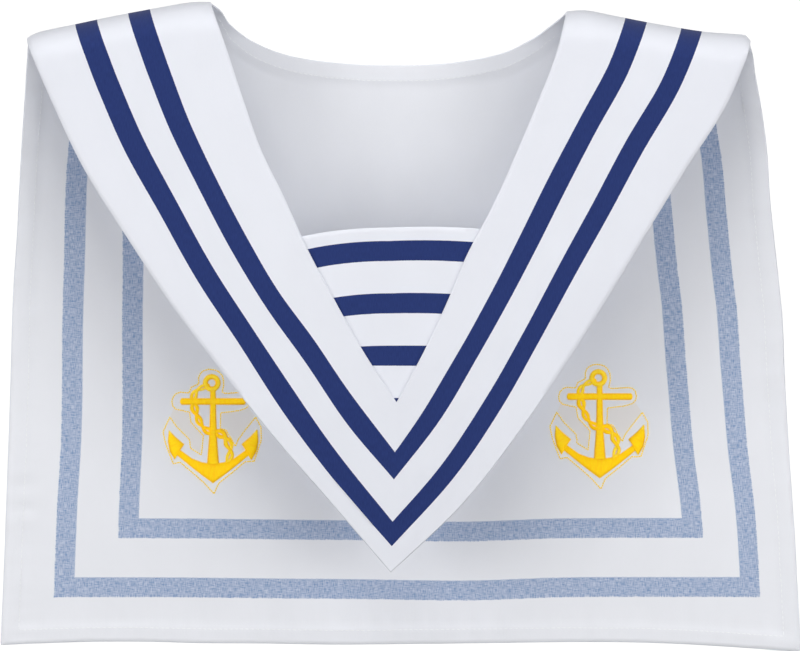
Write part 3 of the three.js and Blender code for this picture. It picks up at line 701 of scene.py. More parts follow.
def sheet_object(name, sheet, *materials):
    """Closes a sheet into one body: outer face, inner face and a rounded edge all round."""
    rows, columns = len(sheet.points), len(sheet.points[0])
    grid = [(i, j) for i in range(rows) for j in range(columns)]
    under, rim = len(grid), 2 * len(grid)
    vertices = [sheet.points[i][j] for i, j in grid] + [sheet.inside(i, j) for i, j in grid]
    faces, slots = [], []
    for i in range(rows - 1):
        for j in range(columns - 1):
            a, d = i * columns + j, (i + 1) * columns + j
            b, c = a + 1, d + 1
            faces += [(a, b, c, d), (under + d, under + c, under + b, under + a)]
            slots += [0, 1]
    border = [(0, j) for j in range(columns)]
    border += [(i, columns - 1) for i in range(1, rows)]
    border += [(rows - 1, j) for j in range(columns - 2, -1, -1)]
    border += [(i, 0) for i in range(rows - 2, 0, -1)]
    for i, j in border:
        outer, inner = sheet.points[i][j], sheet.inside(i, j)
        next_in = sheet.points[min(max(i, 1), rows - 2)][min(max(j, 1), columns - 2)]
        away = (outer - next_in) - (outer - next_in).project(sheet.normals[i][j])
        bulge = away.normalized() * (outer - inner).length * EDGE_BULGE
        vertices.append((outer + inner) / 2 + bulge)
    for k, (i, j) in enumerate(border):
        n = (k + 1) % len(border)
        p, q = i * columns + j, border[n][0] * columns + border[n][1]
        faces.append((q, p, rim + k, rim + n))
        faces.append((rim + n, rim + k, under + p, under + q))
        slots += [0, 0]
    mesh = bpy.data.meshes.new(name)
    mesh.from_pydata([tuple(v) for v in vertices], [], faces)
    for key in materials:
        mesh.materials.append(shared_material(bpy.context.scene, key))
    mesh.polygons.foreach_set("material_index", slots)
    places = grid + grid + border
    for layer, values in (("print", sheet.prints), ("weave", sheet.weaves)):
        data = mesh.uv_layers.new(name=layer).data
        for loop in mesh.loops:
            i, j = places[loop.vertex_index]
            data[loop.index].uv = values[i][j]
    return finished(name, mesh, 50)


def face_outwards(mesh, fill=False):
    """Turns a mesh's faces outwards. fill closes its open ends first."""
    work = bmesh.new()
    work.from_mesh(mesh)
    if fill:
        bmesh.ops.holes_fill(work, edges=[e for e in work.edges if e.is_boundary])
    bmesh.ops.recalc_face_normals(work, faces=work.faces)
    work.to_mesh(mesh)
    work.free()


def linked(name, mesh):
    """Links a mesh to the scene as the selected piece."""
    piece = bpy.data.objects.new(name, mesh)
    bpy.context.scene.collection.objects.link(piece)
    bpy.ops.object.select_all(action="DESELECT")
    piece.select_set(True)
    bpy.context.view_layer.objects.active = piece
    return piece


def shaded(piece, angle):
    """Shades the selected piece smooth up to an angle in degrees and lets it ride."""
    bpy.ops.object.shade_smooth_by_angle(angle=math.radians(angle))
    piece.select_set(False)
    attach(piece, BODY)
    return piece


def finished(name, mesh, angle):
    """Makes a riding piece of a mesh."""
    face_outwards(mesh)
    return shaded(linked(name, mesh), angle)


def node(tree, kind, **values):
    made = tree.nodes.new(kind)
    for key, value in values.items():
        setattr(made, key, value)
    return made


def maths(tree, operation, *values):
    """A Math node: each value is a number or another node's output."""
    made = node(tree, "ShaderNodeMath", operation=operation)
    for k, value in enumerate(values):
        if isinstance(value, (int, float)):
            made.inputs[k].default_value = value
        else:
            tree.links.new(value, made.inputs[k])
    return made.outputs[0]


def uv_parts(tree, name):
    """A UV map as a vector and as its two numbers."""
    vector = node(tree, "ShaderNodeUVMap", uv_map=name).outputs[0]
    parts = node(tree, "ShaderNodeSeparateXYZ")
    tree.links.new(vector, parts.inputs[0])
    return vector, parts.outputs[0], parts.outputs[1]


def map_range(tree, value, low, high, to_low=0.0, to_high=1.0):
    made = node(tree, "ShaderNodeMapRange")
    ends = {"From Min": low, "From Max": high, "To Min": to_low, "To Max": to_high}
    for socket, number in ends.items():
        made.inputs[socket].default_value = number
    tree.links.new(value, made.inputs["Value"])
    return made.outputs[0]


def bump(tree, shader, height, strength, distance):
    made = node(tree, "ShaderNodeBump")
    made.inputs["Strength"].default_value = strength
    made.inputs["Distance"].default_value = distance
    tree.links.new(height, made.inputs["Height"])
    tree.links.new(made.outputs[0], shader.inputs["Normal"])


def plain_material(name, roughness, sheen):
    material = bpy.data.materials.new(name)
    material.use_nodes = True
    tree = material.node_tree
    shader = tree.nodes["Principled BSDF"]
    shader.inputs["Roughness"].default_value = roughness
    shader.inputs["Specular IOR Level"].default_value = 0.25
    shader.inputs["Sheen Weight"].default_value = sheen
    shader.inputs["Sheen Roughness"].default_value = 0.5
    return material, tree, shader


def colour_mix(tree, factor, a, b):
    made = node(tree, "ShaderNodeMix", data_type="RGBA")
    for socket, value in ((made.inputs[0], factor), (made.inputs[6], a), (made.inputs[7], b)):
        if isinstance(value, (int, float)):
            socket.default_value = value
        elif isinstance(value, bpy.types.NodeSocket):
            tree.links.new(value, socket)
        else:
            socket.default_value = (*value[:3], 1.0)
    return made.outputs[2]


def stretched_noise(tree, uv, across, along, detail=2.0):
    """Noise on a UV map with its own number of blotches per metre both ways."""
    mapping = node(tree, "ShaderNodeMapping")
    mapping.inputs["Scale"].default_value = (across, along, 1.0)
    tree.links.new(uv, mapping.inputs["Vector"])
    texture = node(tree, "ShaderNodeTexNoise")
    texture.inputs["Scale"].default_value = 1.0
    texture.inputs["Detail"].default_value = detail
    tree.links.new(mapping.outputs[0], texture.inputs["Vector"])
    return texture.outputs[0]


def weave_bump(tree, shader, pitch, strength):
    """Plain weave: crossing threads over the whole cloth, with slubs."""
    weave, across, along = uv_parts(tree, "weave")
    warp = maths(tree, "SINE", maths(tree, "MULTIPLY", across, math.pi / pitch))
    weft = maths(tree, "SINE", maths(tree, "MULTIPLY", along, math.pi / pitch))
    height = maths(tree, "MULTIPLY", warp, weft)
    slubs = stretched_noise(tree, weave, 900.0, 160.0)
    height = maths(tree, "ADD", height, maths(tree, "MULTIPLY", slubs, 1.5))
    bump(tree, shader, height, strength, pitch / 4)


def within(tree, value, start, width, soft):
    """1 where value lies between start and start + width, with soft borders."""
    away = maths(tree, "ABSOLUTE", maths(tree, "SUBTRACT", value, start + width / 2))
    return map_range(tree, away, width / 2 + soft, width / 2 - soft)


def shade(colour, factor):
    """A deeper or lighter tone of a colour."""
    return [min(c * factor, 1.0) for c in colour]


def cotton_material(name, scene, stripes, reverse):
    """Cotton with its printed stripes. stripes takes the tree and the print map's across and
    along values and gives the print's distance value and a list of (start, width)."""
    colours = scene.collar_colours
    edge = PRINT_EDGES["reverse" if reverse else "face"]
    material, tree, shader = plain_material(name, 0.86, 0.12)
    _, across, along = uv_parts(tree, "print")
    weave = node(tree, "ShaderNodeUVMap", uv_map="weave").outputs[0]
    distance, bands = stripes(tree, across, along)
    down_threads = stretched_noise(tree, weave, *THREAD_NOISE, 1.0)
    cross_threads = stretched_noise(tree, weave, *THREAD_NOISE[::-1], 1.0)
    both = maths(tree, "ADD", down_threads, cross_threads)
    threads = maths(tree, "SUBTRACT", both, 1.0)
    frayed = maths(tree, "ADD", distance, maths(tree, "MULTIPLY", threads, edge["fray"]))
    mask = 0.0
    for start, width in bands:
        mask = maths(tree, "ADD", within(tree, frayed, start, width, edge["soft"]), mask)
    blotch = stretched_noise(tree, weave, 40.0, 25.0)
    white = colours.inside if reverse else colours.white
    pale = colour_mix(tree, blotch, shade(white, 0.975), shade(white, 1.02))
    if reverse:
        heather = map_range(tree, maths(tree, "MULTIPLY", both, 0.5), 0.36, 0.64, 0.42, 1.0)
        dyed = colour_mix(tree, heather, white, colours.washed)
    else:
        worn = maths(tree, "MULTIPLY", down_threads, 0.5)
        dyed = colour_mix(tree, worn, colours.navy, shade(colours.navy, 2.2))
    tree.links.new(colour_mix(tree, mask, pale, dyed), shader.inputs["Base Color"])
    weave_bump(tree, shader, WEAVE_PITCH, 0.25)
    return material


def collar_stripes(cloth):
    """The two stripes of the collar follow its edges: a point lies in the stripe that its
    nearer edge gives, which mitres the corners."""

    def place(tree, across, along):
        first = (cloth.border, cloth.stripe_width)
        second = (cloth.border + cloth.stripe_width + cloth.stripe_gap, cloth.stripe_width)
        return maths(tree, "MINIMUM", across, along), [first, second]

    return place


def insert_stripes(cloth):
    """The level stripes of the insert, one every pitch."""

    def place(tree, across, along):
        shifted = maths(tree, "SUBTRACT", along, cloth.insert_start)
        distance = maths(tree, "FLOORED_MODULO", shifted, cloth.insert_pitch)
        return distance, [(0.0, cloth.insert_stripe)]

    return place


def thread_material(name, colour, roughness, pitch, shine, glow):
    """Shiny thread, its strands twisted along a map in metres. The satin map runs from 0 to 1
    across a column, whose threads are painted darker at its edges and lighter in its middle:
    painted shade and highlight on the satin's dome. glow is the strength of an emission in
    the thread's own colour, a painted sheen that makes the thread brighter than its light."""
    material, tree, shader = plain_material(name, roughness, 0.0)
    shader.inputs["Specular IOR Level"].default_value = shine
    # Painted sheen: the thread glows in its own colour, brighter than the light that falls on it.
    shader.inputs["Emission Color"].default_value = (*colour[:3], 1.0)
    shader.inputs["Emission Strength"].default_value = glow
    lay, along, _ = uv_parts(tree, "thread")
    share = uv_parts(tree, "satin")[1]
    # Painted shade and highlight: each column is darker at its edges and lighter in its middle,
    # mixed with the strands' random tone.
    edge = maths(tree, "ABSOLUTE", maths(tree, "MULTIPLY_ADD", share, 2.0, -1.0))
    middle = maths(tree, "SUBTRACT", 1.0, maths(tree, "POWER", edge, 3.0))
    strands = stretched_noise(tree, lay, 900.0, 260.0)
    uneven = maths(tree, "MULTIPLY_ADD", strands, 1.2, -0.45)
    tone = maths(tree, "ADD", maths(tree, "MULTIPLY", middle, 0.7), uneven)
    tinted = colour_mix(tree, tone, shade(colour, 0.80), shade(colour, 1.18))
    tree.links.new(tinted, shader.inputs["Base Color"])
    strand = maths(tree, "SINE", maths(tree, "MULTIPLY", along, 2 * math.pi / pitch))
    bump(tree, shader, strand, 0.3, pitch / 5)
    return material


def shared_material(scene, key):
    """Makes each material once: the cottons, the two threads and the backing."""
    if key in bpy.data.materials:
        return bpy.data.materials[key]
    colours = scene.collar_colours
    if "cotton" in key or "insert" in key:
        stripes = insert_stripes if "insert" in key else collar_stripes
        return cotton_material(key, scene, stripes(scene.collar_cloth), "reverse" in key)
    if key == "yellow embroidery thread":
        # The yellow thread's glow is a painted sheen on the satin.
        return thread_material(
            key, colours.yellow, roughness=0.38, pitch=0.00042, shine=0.5, glow=0.2
        )
    if key == "white seam thread":
        return thread_material(
            key, colours.white, roughness=0.6, pitch=0.0003, shine=0.25, glow=0.0
        )
    material, _, shader = plain_material(key, 0.9, 0.1)
    shader.inputs["Base Color"].default_value = (*colours.backing, 1.0)
    return material


def fold_steps(count):
    """Places down the turn over the fold, evenly spaced around it."""
    return [1 - math.cos(math.pi / 2 * k / count) for k in range(count)]


def spread(lines, counts):
    """Fills in between key lines: each line is a tuple of numbers, and each gap between two
    lines gets its own count of steps."""
    filled = []
    for a, b, count in zip(lines, lines[1:], counts):
        for k in range(count):
            filled.append(tuple(mix(p, q, k / count) for p, q in zip(a, b)))
    filled.append(lines[-1])
    return filled


class COLLAR_OT_front(Operator):
    """Lays the two lapels that meet in the V, with their hems and stripes"""

    bl_idname = "collar.front"
    bl_label = "Front"

    def execute(self, context):
        drape = Drape(context.scene)
        cloth = drape.cloth
        length = (drape.size.opening_depth + drape.size.point_depth) / 2
        turned = drape.hang.fold_height / length
        places = [turned * share for share in fold_steps(FOLD_CELLS)]
        places += steps(turned, 1.0, round(length * (1 - turned) / cloth.cell)) + [1.0]
        sheet = Sheet(1.0)
        arms = [("left", along) for along in places]
        arms += [("right", along) for along in reversed(places[:-1])]
        step = HEM_STEP["front"]
        for side, along in arms:
            lines = spread(drape.lapel_lines(side, along), LAPEL_CELLS)
            points = [drape.lapel_point(side, along, share) for share, distance in lines]
            walls = []
            for share, distance in lines:
                in_hem = max(
                    ramp(cloth.hem_width - distance, -step, step),
                    ramp(distance - cloth.lapel_width + cloth.hem_width, -step, step),
                )
                walls.append(mix(cloth.wall, cloth.hem_wall, in_hem))
            sheet.add_row(points, walls, [(distance, 1.0) for share, distance in lines])
        last = len(sheet.points) - 1
        for i in (0, last):
            for point in sheet.points[i]:
                point.y = -FOLD_GAP
        sheet.square = {(i, j) for i in (0, last) for j in range(len(sheet.points[0]))}
        sheet.finish_normals()
        sheet.weave_as_seen()
        piece = sheet_object("front_cloth", sheet, "printed cotton", "printed cotton reverse")
        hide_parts("front_panel", "front_inner_stripe", "front_outer_stripe")
        return {"FINISHED"}


def back_columns(drape):
    """Key columns of the back: top place across and up, place at the bottom, distance from
    the side edge in the print, and whether the column starts at the neckline."""
    cloth = drape.cloth

    def shoulder(side):
        sign = SIDES[side]
        lines = drape.lapel_lines(side, 0.0)
        border = cloth.side_border * BACK_SIDES[side]["border"]
        second = border + cloth.stripe_width + cloth.stripe_gap * BACK_SIDES[side]["gap"]
        inwards = (
            0.0, cloth.hem_width, border, border + cloth.stripe_width,
            second, second + cloth.stripe_width,
        )
        keys = []
        for (share, distance), inward in zip(reversed(lines[2:]), inwards):
            x = sign * mix(drape.corner_x(side), drape.tip_x(side), share)
            bottom = drape.panel_edge(side, 1.0) - sign * inward
            keys.append((x, drape.fold_line(x), bottom, distance, 0.0))
        return keys

    left, right = shoulder("left"), shoulder("right")
    start, end = left[-1], right[-1]
    neck = []
    for k in range(NECK_CELLS + 1):
        along = k / NECK_CELLS
        x = drape.size.neck_width / 2 * read_table(NECK_ROWS, "along", "across", along)
        z = -drape.size.neck_drop * read_table(NECK_ROWS, "along", "drop", along)
        if k in (0, NECK_CELLS):
            z = drape.fold_line(x)
        share = (k + CORNER_CELLS) / (NECK_CELLS + 2 * CORNER_CELLS)
        bottom = mix(start[2], end[2], share)
        distance = cloth.lapel_width + drape.size.neck_width / 2 * math.sin(math.pi * along)
        neck.append((x, z, bottom, distance, 1.0))

    def shoulder_to_neck(keys, corner):
        """A shoulder's columns, all with their top on the fold."""
        made = spread(keys, SIDE_CELLS)[:-1] + spread([keys[-1], corner], (CORNER_CELLS,))[:-1]
        return [(column[0], drape.fold_line(column[0]), *column[2:]) for column in made]

    return shoulder_to_neck(left, neck[0]) + neck + shoulder_to_neck(right, neck[-1])[::-1]


def back_levels(drape, column):
    """Heights of the rows in one column, with their distance from the bottom edge."""
    cloth, size = drape.cloth, drape.size
    x, top, bottom_x, distance, at_neck = column
    left, right = drape.panel_edge("left", 1.0), drape.panel_edge("right", 1.0)
    across = clamp((bottom_x - left) / (right - left))
    bottom = -size.panel_length * read_table(BOTTOM_ROWS, "across", "length", across)
    fall = -size.panel_length * mix(1.0, BANDS["fall"], across)
    droop = read_table(DROOP_ROWS, "across", "droop", across)
    outer = fall + cloth.bottom_border * (1 - droop)
    outer += size.shoulder_drop * BANDS["rise"] * across
    inner = outer + cloth.stripe_width + cloth.stripe_gap
    turned = min(drape.fold_line(x) - drape.hang.fold_height, top - cloth.hem_width)
    first, second = cloth.border, cloth.border + cloth.stripe_width + cloth.stripe_gap
    keys = [
        (turned, second + turned - inner),
        (inner + cloth.stripe_width, second + cloth.stripe_width),
        (inner, second),
        (outer + cloth.stripe_width, first + cloth.stripe_width),
        (outer, first),
        (bottom + cloth.hem_width, cloth.hem_width),
        (bottom, 0.0),
    ]
    levels = []
    for share in fold_steps(FOLD_CELLS):
        z = mix(top, turned, share)
        levels.append((z, keys[0][1] + top - z))
    return levels + spread(keys, LEVEL_CELLS)


class COLLAR_OT_back(Operator):
    """Hangs the square back panel, turned over both shoulders, with its hems and stripes"""

    bl_idname = "collar.back"
    bl_label = "Back"

    def execute(self, context):
        drape = Drape(context.scene)
        cloth, size = drape.cloth, drape.size
        columns = back_columns(drape)
        levels = [back_levels(drape, column) for column in columns]
        neckline = [Vector((c[0], c[1])) for c in columns if c[4] == 1.0]
        sheet = Sheet(1.0)
        for i in range(len(levels[0])):
            points, walls, prints = [], [], []
            for column, heights in zip(columns, levels):
                x, top, bottom_x, distance, at_neck = column
                z, from_bottom = heights[i]
                side = "left" if x < 0 else "right"
                down = clamp((top - z) / (top + size.panel_length))
                flare = read_table(FLARE_ROWS, "down", side, down)
                place = mix(x, bottom_x, mix(flare, down, at_neck))
                place += drape.sway(side, down, place)
                points.append(Vector((place, drape.back_y(place, z), z)))
                edge = min(distance, from_bottom)
                in_hem = ramp(cloth.hem_width - edge, -HEM_STEP["back"], HEM_STEP["back"])
                reach = 2 * cloth.hem_width
                if z > -size.neck_drop - reach and abs(place) < drape.corner_x(side) + reach:
                    near = min((Vector((place, z)) - p).length for p in neckline)
                    near = ramp(cloth.hem_width - near, -HEM_STEP["neck"], HEM_STEP["neck"])
                    in_hem = max(in_hem, near)
                walls.append(mix(cloth.wall, cloth.hem_wall, in_hem))
                prints.append((distance, from_bottom))
            sheet.add_row(points, walls, prints)
        on_fold = [j for j, c in enumerate(columns) if c[1] >= drape.fold_line(c[0]) - 1e-6]
        for j in on_fold:
            sheet.points[0][j].y = FOLD_GAP
        sheet.square = {(0, j) for j in on_fold}
        sheet.finish_normals()
        sheet.weave_along_cloth()
        piece = sheet_object("back_cloth", sheet, "printed cotton", "printed cotton reverse")
        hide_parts("back_panel", "back_outer_stripe", "back_inner_stripe")
        hem_seams(context.scene, sheet, columns)
        return {"FINISHED"}


def model_stitch():
    """One stitch, modelled by hand: a short round thread whose ends dive into the cloth. It
    lies along X, Z is away from the cloth, and its length is 1."""
    bpy.ops.object.select_all(action="DESELECT")
    bpy.ops.mesh.primitive_cylinder_add(
        vertices=6, radius=0.5, depth=1.0, end_fill_type="NOTHING", rotation=(0.0, math.pi / 2, 0.0)
    )
    stitch = bpy.context.object
    bpy.ops.object.transform_apply(location=False, rotation=True, scale=False)
    bpy.ops.object.mode_set(mode="EDIT")
    bpy.ops.mesh.select_all(action="DESELECT")
    bpy.ops.object.mode_set(mode="OBJECT")
    for edge in stitch.data.edges:
        a, b = (stitch.data.vertices[k].co for k in edge.vertices)
        edge.select = abs(a.x - b.x) > 0.5
    bpy.ops.object.mode_set(mode="EDIT")
    bpy.ops.mesh.select_mode(type="EDGE")
    bpy.ops.mesh.subdivide(number_cuts=3)
    bpy.ops.object.mode_set(mode="OBJECT")
    points = [v.co.copy() for v in stitch.data.vertices]
    faces = [tuple(p.vertices) for p in stitch.data.polygons]
    bpy.data.objects.remove(stitch)
    return points, faces


def lay_threads(mesh, lays):
    """Writes the thread and satin maps: each point has (along, around, share of the column)."""
    thread = mesh.uv_layers.new(name="thread").data
    satin = mesh.uv_layers.new(name="satin").data
    for loop in mesh.loops:
        along, around, share = lays[loop.vertex_index]
        thread[loop.index].uv = (along, around)
        satin[loop.index].uv = (share, 0.0)


def stitched(name, places, thickness, material):
    """Copies one stitch to every place: each is (start, end, away) and they form one piece."""
    points, faces = model_stitch()
    vertices, all_faces, lays = [], [], []
    for start, end, away in places:
        run = end - start
        length = run.length
        forward = run.normalized()
        side = away.cross(forward).normalized()
        first = len(vertices)
        for p in points:
            bend = math.sqrt(max(0.0, 1 - (2 * p.x) ** 2))
            width = thickness * mix(0.35, 1.0, bend)
            rise = thickness * (mix(-0.35, 0.25, bend) + p.z * mix(0.4, 1.0, bend))
            vertices.append(
                start + forward * (p.x + 0.5) * length + side * (p.y * width) + away * rise
            )
            lays.append(((p.x + 0.5) * length, p.y * width, 0.5))
        all_faces += [tuple(first + k for k in face) for face in faces]
    mesh = bpy.data.meshes.new(name)
    mesh.from_pydata([tuple(v) for v in vertices], [], all_faces)
    lay_threads(mesh, lays)
    mesh.materials.append(material)
    piece = finished(name, mesh, 80)
    face_outwards(piece.data, fill=True)
    return piece


def lengths_along(points):
    """The length of a broken line up to each of its points."""
    reached = [0.0]
    for a, b in zip(points, points[1:]):
        reached.append(reached[-1] + (b - a).length)
    return reached


def stretch_at(reached, distance):
    """The stretch of a line where a distance falls, and the share of it that is passed."""
    k = 0
    while k < len(reached) - 2 and reached[k + 1] < distance:
        k += 1
    return k, clamp((distance - reached[k]) / max(reached[k + 1] - reached[k], 1e-9))


def along_line(points, aways, pitch, length, wobble, seed):
    """Stitches along a line of points: each pitch gives (start, end, away)."""
    reached = lengths_along(points)

    def at(distance):
        k, share = stretch_at(reached, distance)
        return points[k].lerp(points[k + 1], share), aways[k].lerp(aways[k + 1], share).normalized()

    places = []
    for n in range(int(reached[-1] / pitch)):
        start = n * pitch + (pitch - length) / 2
        a, away = at(start)
        b, other = at(start + length)
        side = away.cross(b - a).normalized()
        lean = wobble * noise.noise(Vector((n * 0.37, seed, 0.5)))
        turn = wobble * noise.noise(Vector((n * 1.9, seed, 4.5)))
        places.append((a + side * (lean + turn), b + side * (lean - turn), away))
    return places


def hem_seams(scene, sheet, columns):
    """The seams that hold the hems of the back: a line of stitches on both faces."""
    cloth = scene.collar_cloth
    inset = cloth.hem_width * 0.86
    rows, count = len(sheet.points), len(columns)
    side_column = next(j for j, c in enumerate(columns) if c[3] > inset)
    levels = [sheet.prints[i][count // 2][1] for i in range(rows)]
    bottom_row = next(i for i in range(rows) if levels[i] < inset)
    neck_columns = [j for j, c in enumerate(columns) if c[4] == 1.0]
    route = [(i, side_column) for i in range(2, bottom_row)]
    route += [(bottom_row, j) for j in range(side_column, count - side_column)]
    route += [(i, count - 1 - side_column) for i in range(bottom_row - 1, 1, -1)]
    neck_route = []
    for j in neck_columns[3:-3]:
        top = sheet.points[0][j]
        row = next(i for i in range(rows) if (sheet.points[i][j] - top).length > inset * 0.98)
        neck_route.append((row, j))
    thread = shared_material(scene, "white seam thread")
    for name, line, wobble in (("hem_seam", route, 0.0002), ("neck_seam", neck_route, 0.0004)):
        for face in ("inside", "outside"):
            if face == "inside":
                points = [sheet.inside(i, j) for i, j in line]
                aways = [-sheet.normals[i][j] for i, j in line]
            else:
                points = [sheet.points[i][j] for i, j in line]
                aways = [sheet.normals[i][j] for i, j in line]
            places = along_line(points, aways, cloth.stitch * 1.12, cloth.stitch, wobble, 3.0)
            piece = stitched(f"{name}_{face}", places, cloth.seam_thread, thread)


class COLLAR_OT_insert(Operator):
    """Sews the striped insert behind the V"""

    bl_idname = "collar.insert"
    bl_label = "Insert"

    def execute(self, context):
        drape = Drape(context.scene)
        cloth, size = drape.cloth, drape.size
        tail = INSERT["tail"]
        sheet = Sheet(-1.0)
        rows = round((size.opening_depth + tail - size.insert_depth) / INSERT["cell"])
        # From lapel to lapel, and to 1.2 on both sides, which is the edge hidden behind them.
        shares = [mix(-1.0, 1.0, k / INSERT_CELLS) for k in range(INSERT_CELLS + 1)]
        shares = [-1.2, -1.1, *shares, 1.1, 1.2]
        for i in range(rows + 1):
            share = i / rows
            depth = mix(size.insert_depth, size.opening_depth + tail, share)
            sag = max(0.0, 1 - share * 1.5)
            hidden = cloth.insert_overlap * mix(1.0, 0.4, share)
            points, walls, prints = [], [], []
            for across in shares:
                side = "left" if across < 0 else "right"
                seen = clamp(across, -1.0, 1.0)
                bow = INSERT_SAG[side] * seen**2 - INSERT_TILT * max(seen, 0.0)
                z = -depth - size.insert_bow * sag * bow
                x = mix(drape.opening_x("left", z), drape.opening_x("right", z), (seen + 1) / 2)
                x += hidden * (across - seen) * 5
                point = drape.front_point(x, z)
                point.y += cloth.hem_wall + INSERT["seat"]
                points.append(point)
                past_hem = ramp(depth - size.insert_depth, 0.006, 0.007)
                walls.append(mix(cloth.hem_wall, cloth.wall, past_hem))
                prints.append((x, depth - size.insert_depth))
            sheet.add_row(points, walls, prints)
        sheet.finish_normals()
        sheet.weave_as_seen()
        piece = sheet_object(
            "insert_cloth", sheet, "striped insert cotton", "striped insert reverse"
        )
        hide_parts("insert", "insert_stripe_1", "insert_stripe_2", "insert_stripe_3")
        return {"FINISHED"}


def smooth_route(points, count):
    """count + 1 points evenly along a smooth line through the given ones."""
    fine = []
    for k in range(len(points) - 1):
        p0, p1 = points[max(k - 1, 0)], points[k]
        p2, p3 = points[k + 1], points[min(k + 2, len(points) - 1)]
        for n in range(16):
            t = n / 16
            fine.append(
                0.5 * ((2 * p1) + (p2 - p0) * t + (2 * p0 - 5 * p1 + 4 * p2 - p3) * t**2
                       + (3 * p1 - p0 - 3 * p2 + p3) * t**3)
            )
    fine.append(points[-1])
    return even_route(fine, count)


def even_route(points, count):
    """count + 1 points evenly along a broken line."""
    reached = lengths_along(points)
    made = []
    for n in range(count + 1):
        k, share = stretch_at(reached, reached[-1] * n / count)
        made.append(points[k].lerp(points[k + 1], share))
    return made


def ring_rails():
    """The ring's outer and inner circle."""
    rails, centre = [], Vector(RING["centre"])
    for k in range(RING["steps"] + 1):
        angle = 2 * math.pi * k / RING["steps"] + math.pi / 2
        out = Vector((math.cos(angle), math.sin(angle)))
        rails.append((centre + out * RING["outer"], centre + out * RING["inner"]))
    return rails


def mirrored_rails(rows, sign):
    """A table's rails, on its own side with sign 1 and on the other with -1."""
    return [tuple(Vector((sign * row[key][0], row[key][1])) for key in "ab") for row in rows]


def rope_rails(phase):
    """One strand of the rope: it winds from side to side of the route."""
    last = STRANDS["steps"]
    centre = smooth_route([Vector(r["at"]) for r in ROPE_ROUTE], last)
    halves = smooth_route([Vector((r["half"], 0.0)) for r in ROPE_ROUTE], last)
    rails = []
    for k, point in enumerate(centre):
        ahead = centre[min(k + 1, last)] - centre[max(k - 1, 0)]
        side = Vector((-ahead.y, ahead.x)).normalized()
        swing = math.sin(phase + 2 * math.pi * k / STRANDS["turn"])
        middle = point + side * halves[k].x * STRANDS["swing"] * swing
        half = halves[k].x * STRANDS["half"]
        rails.append((middle + side * half, middle - side * half))
    return rails


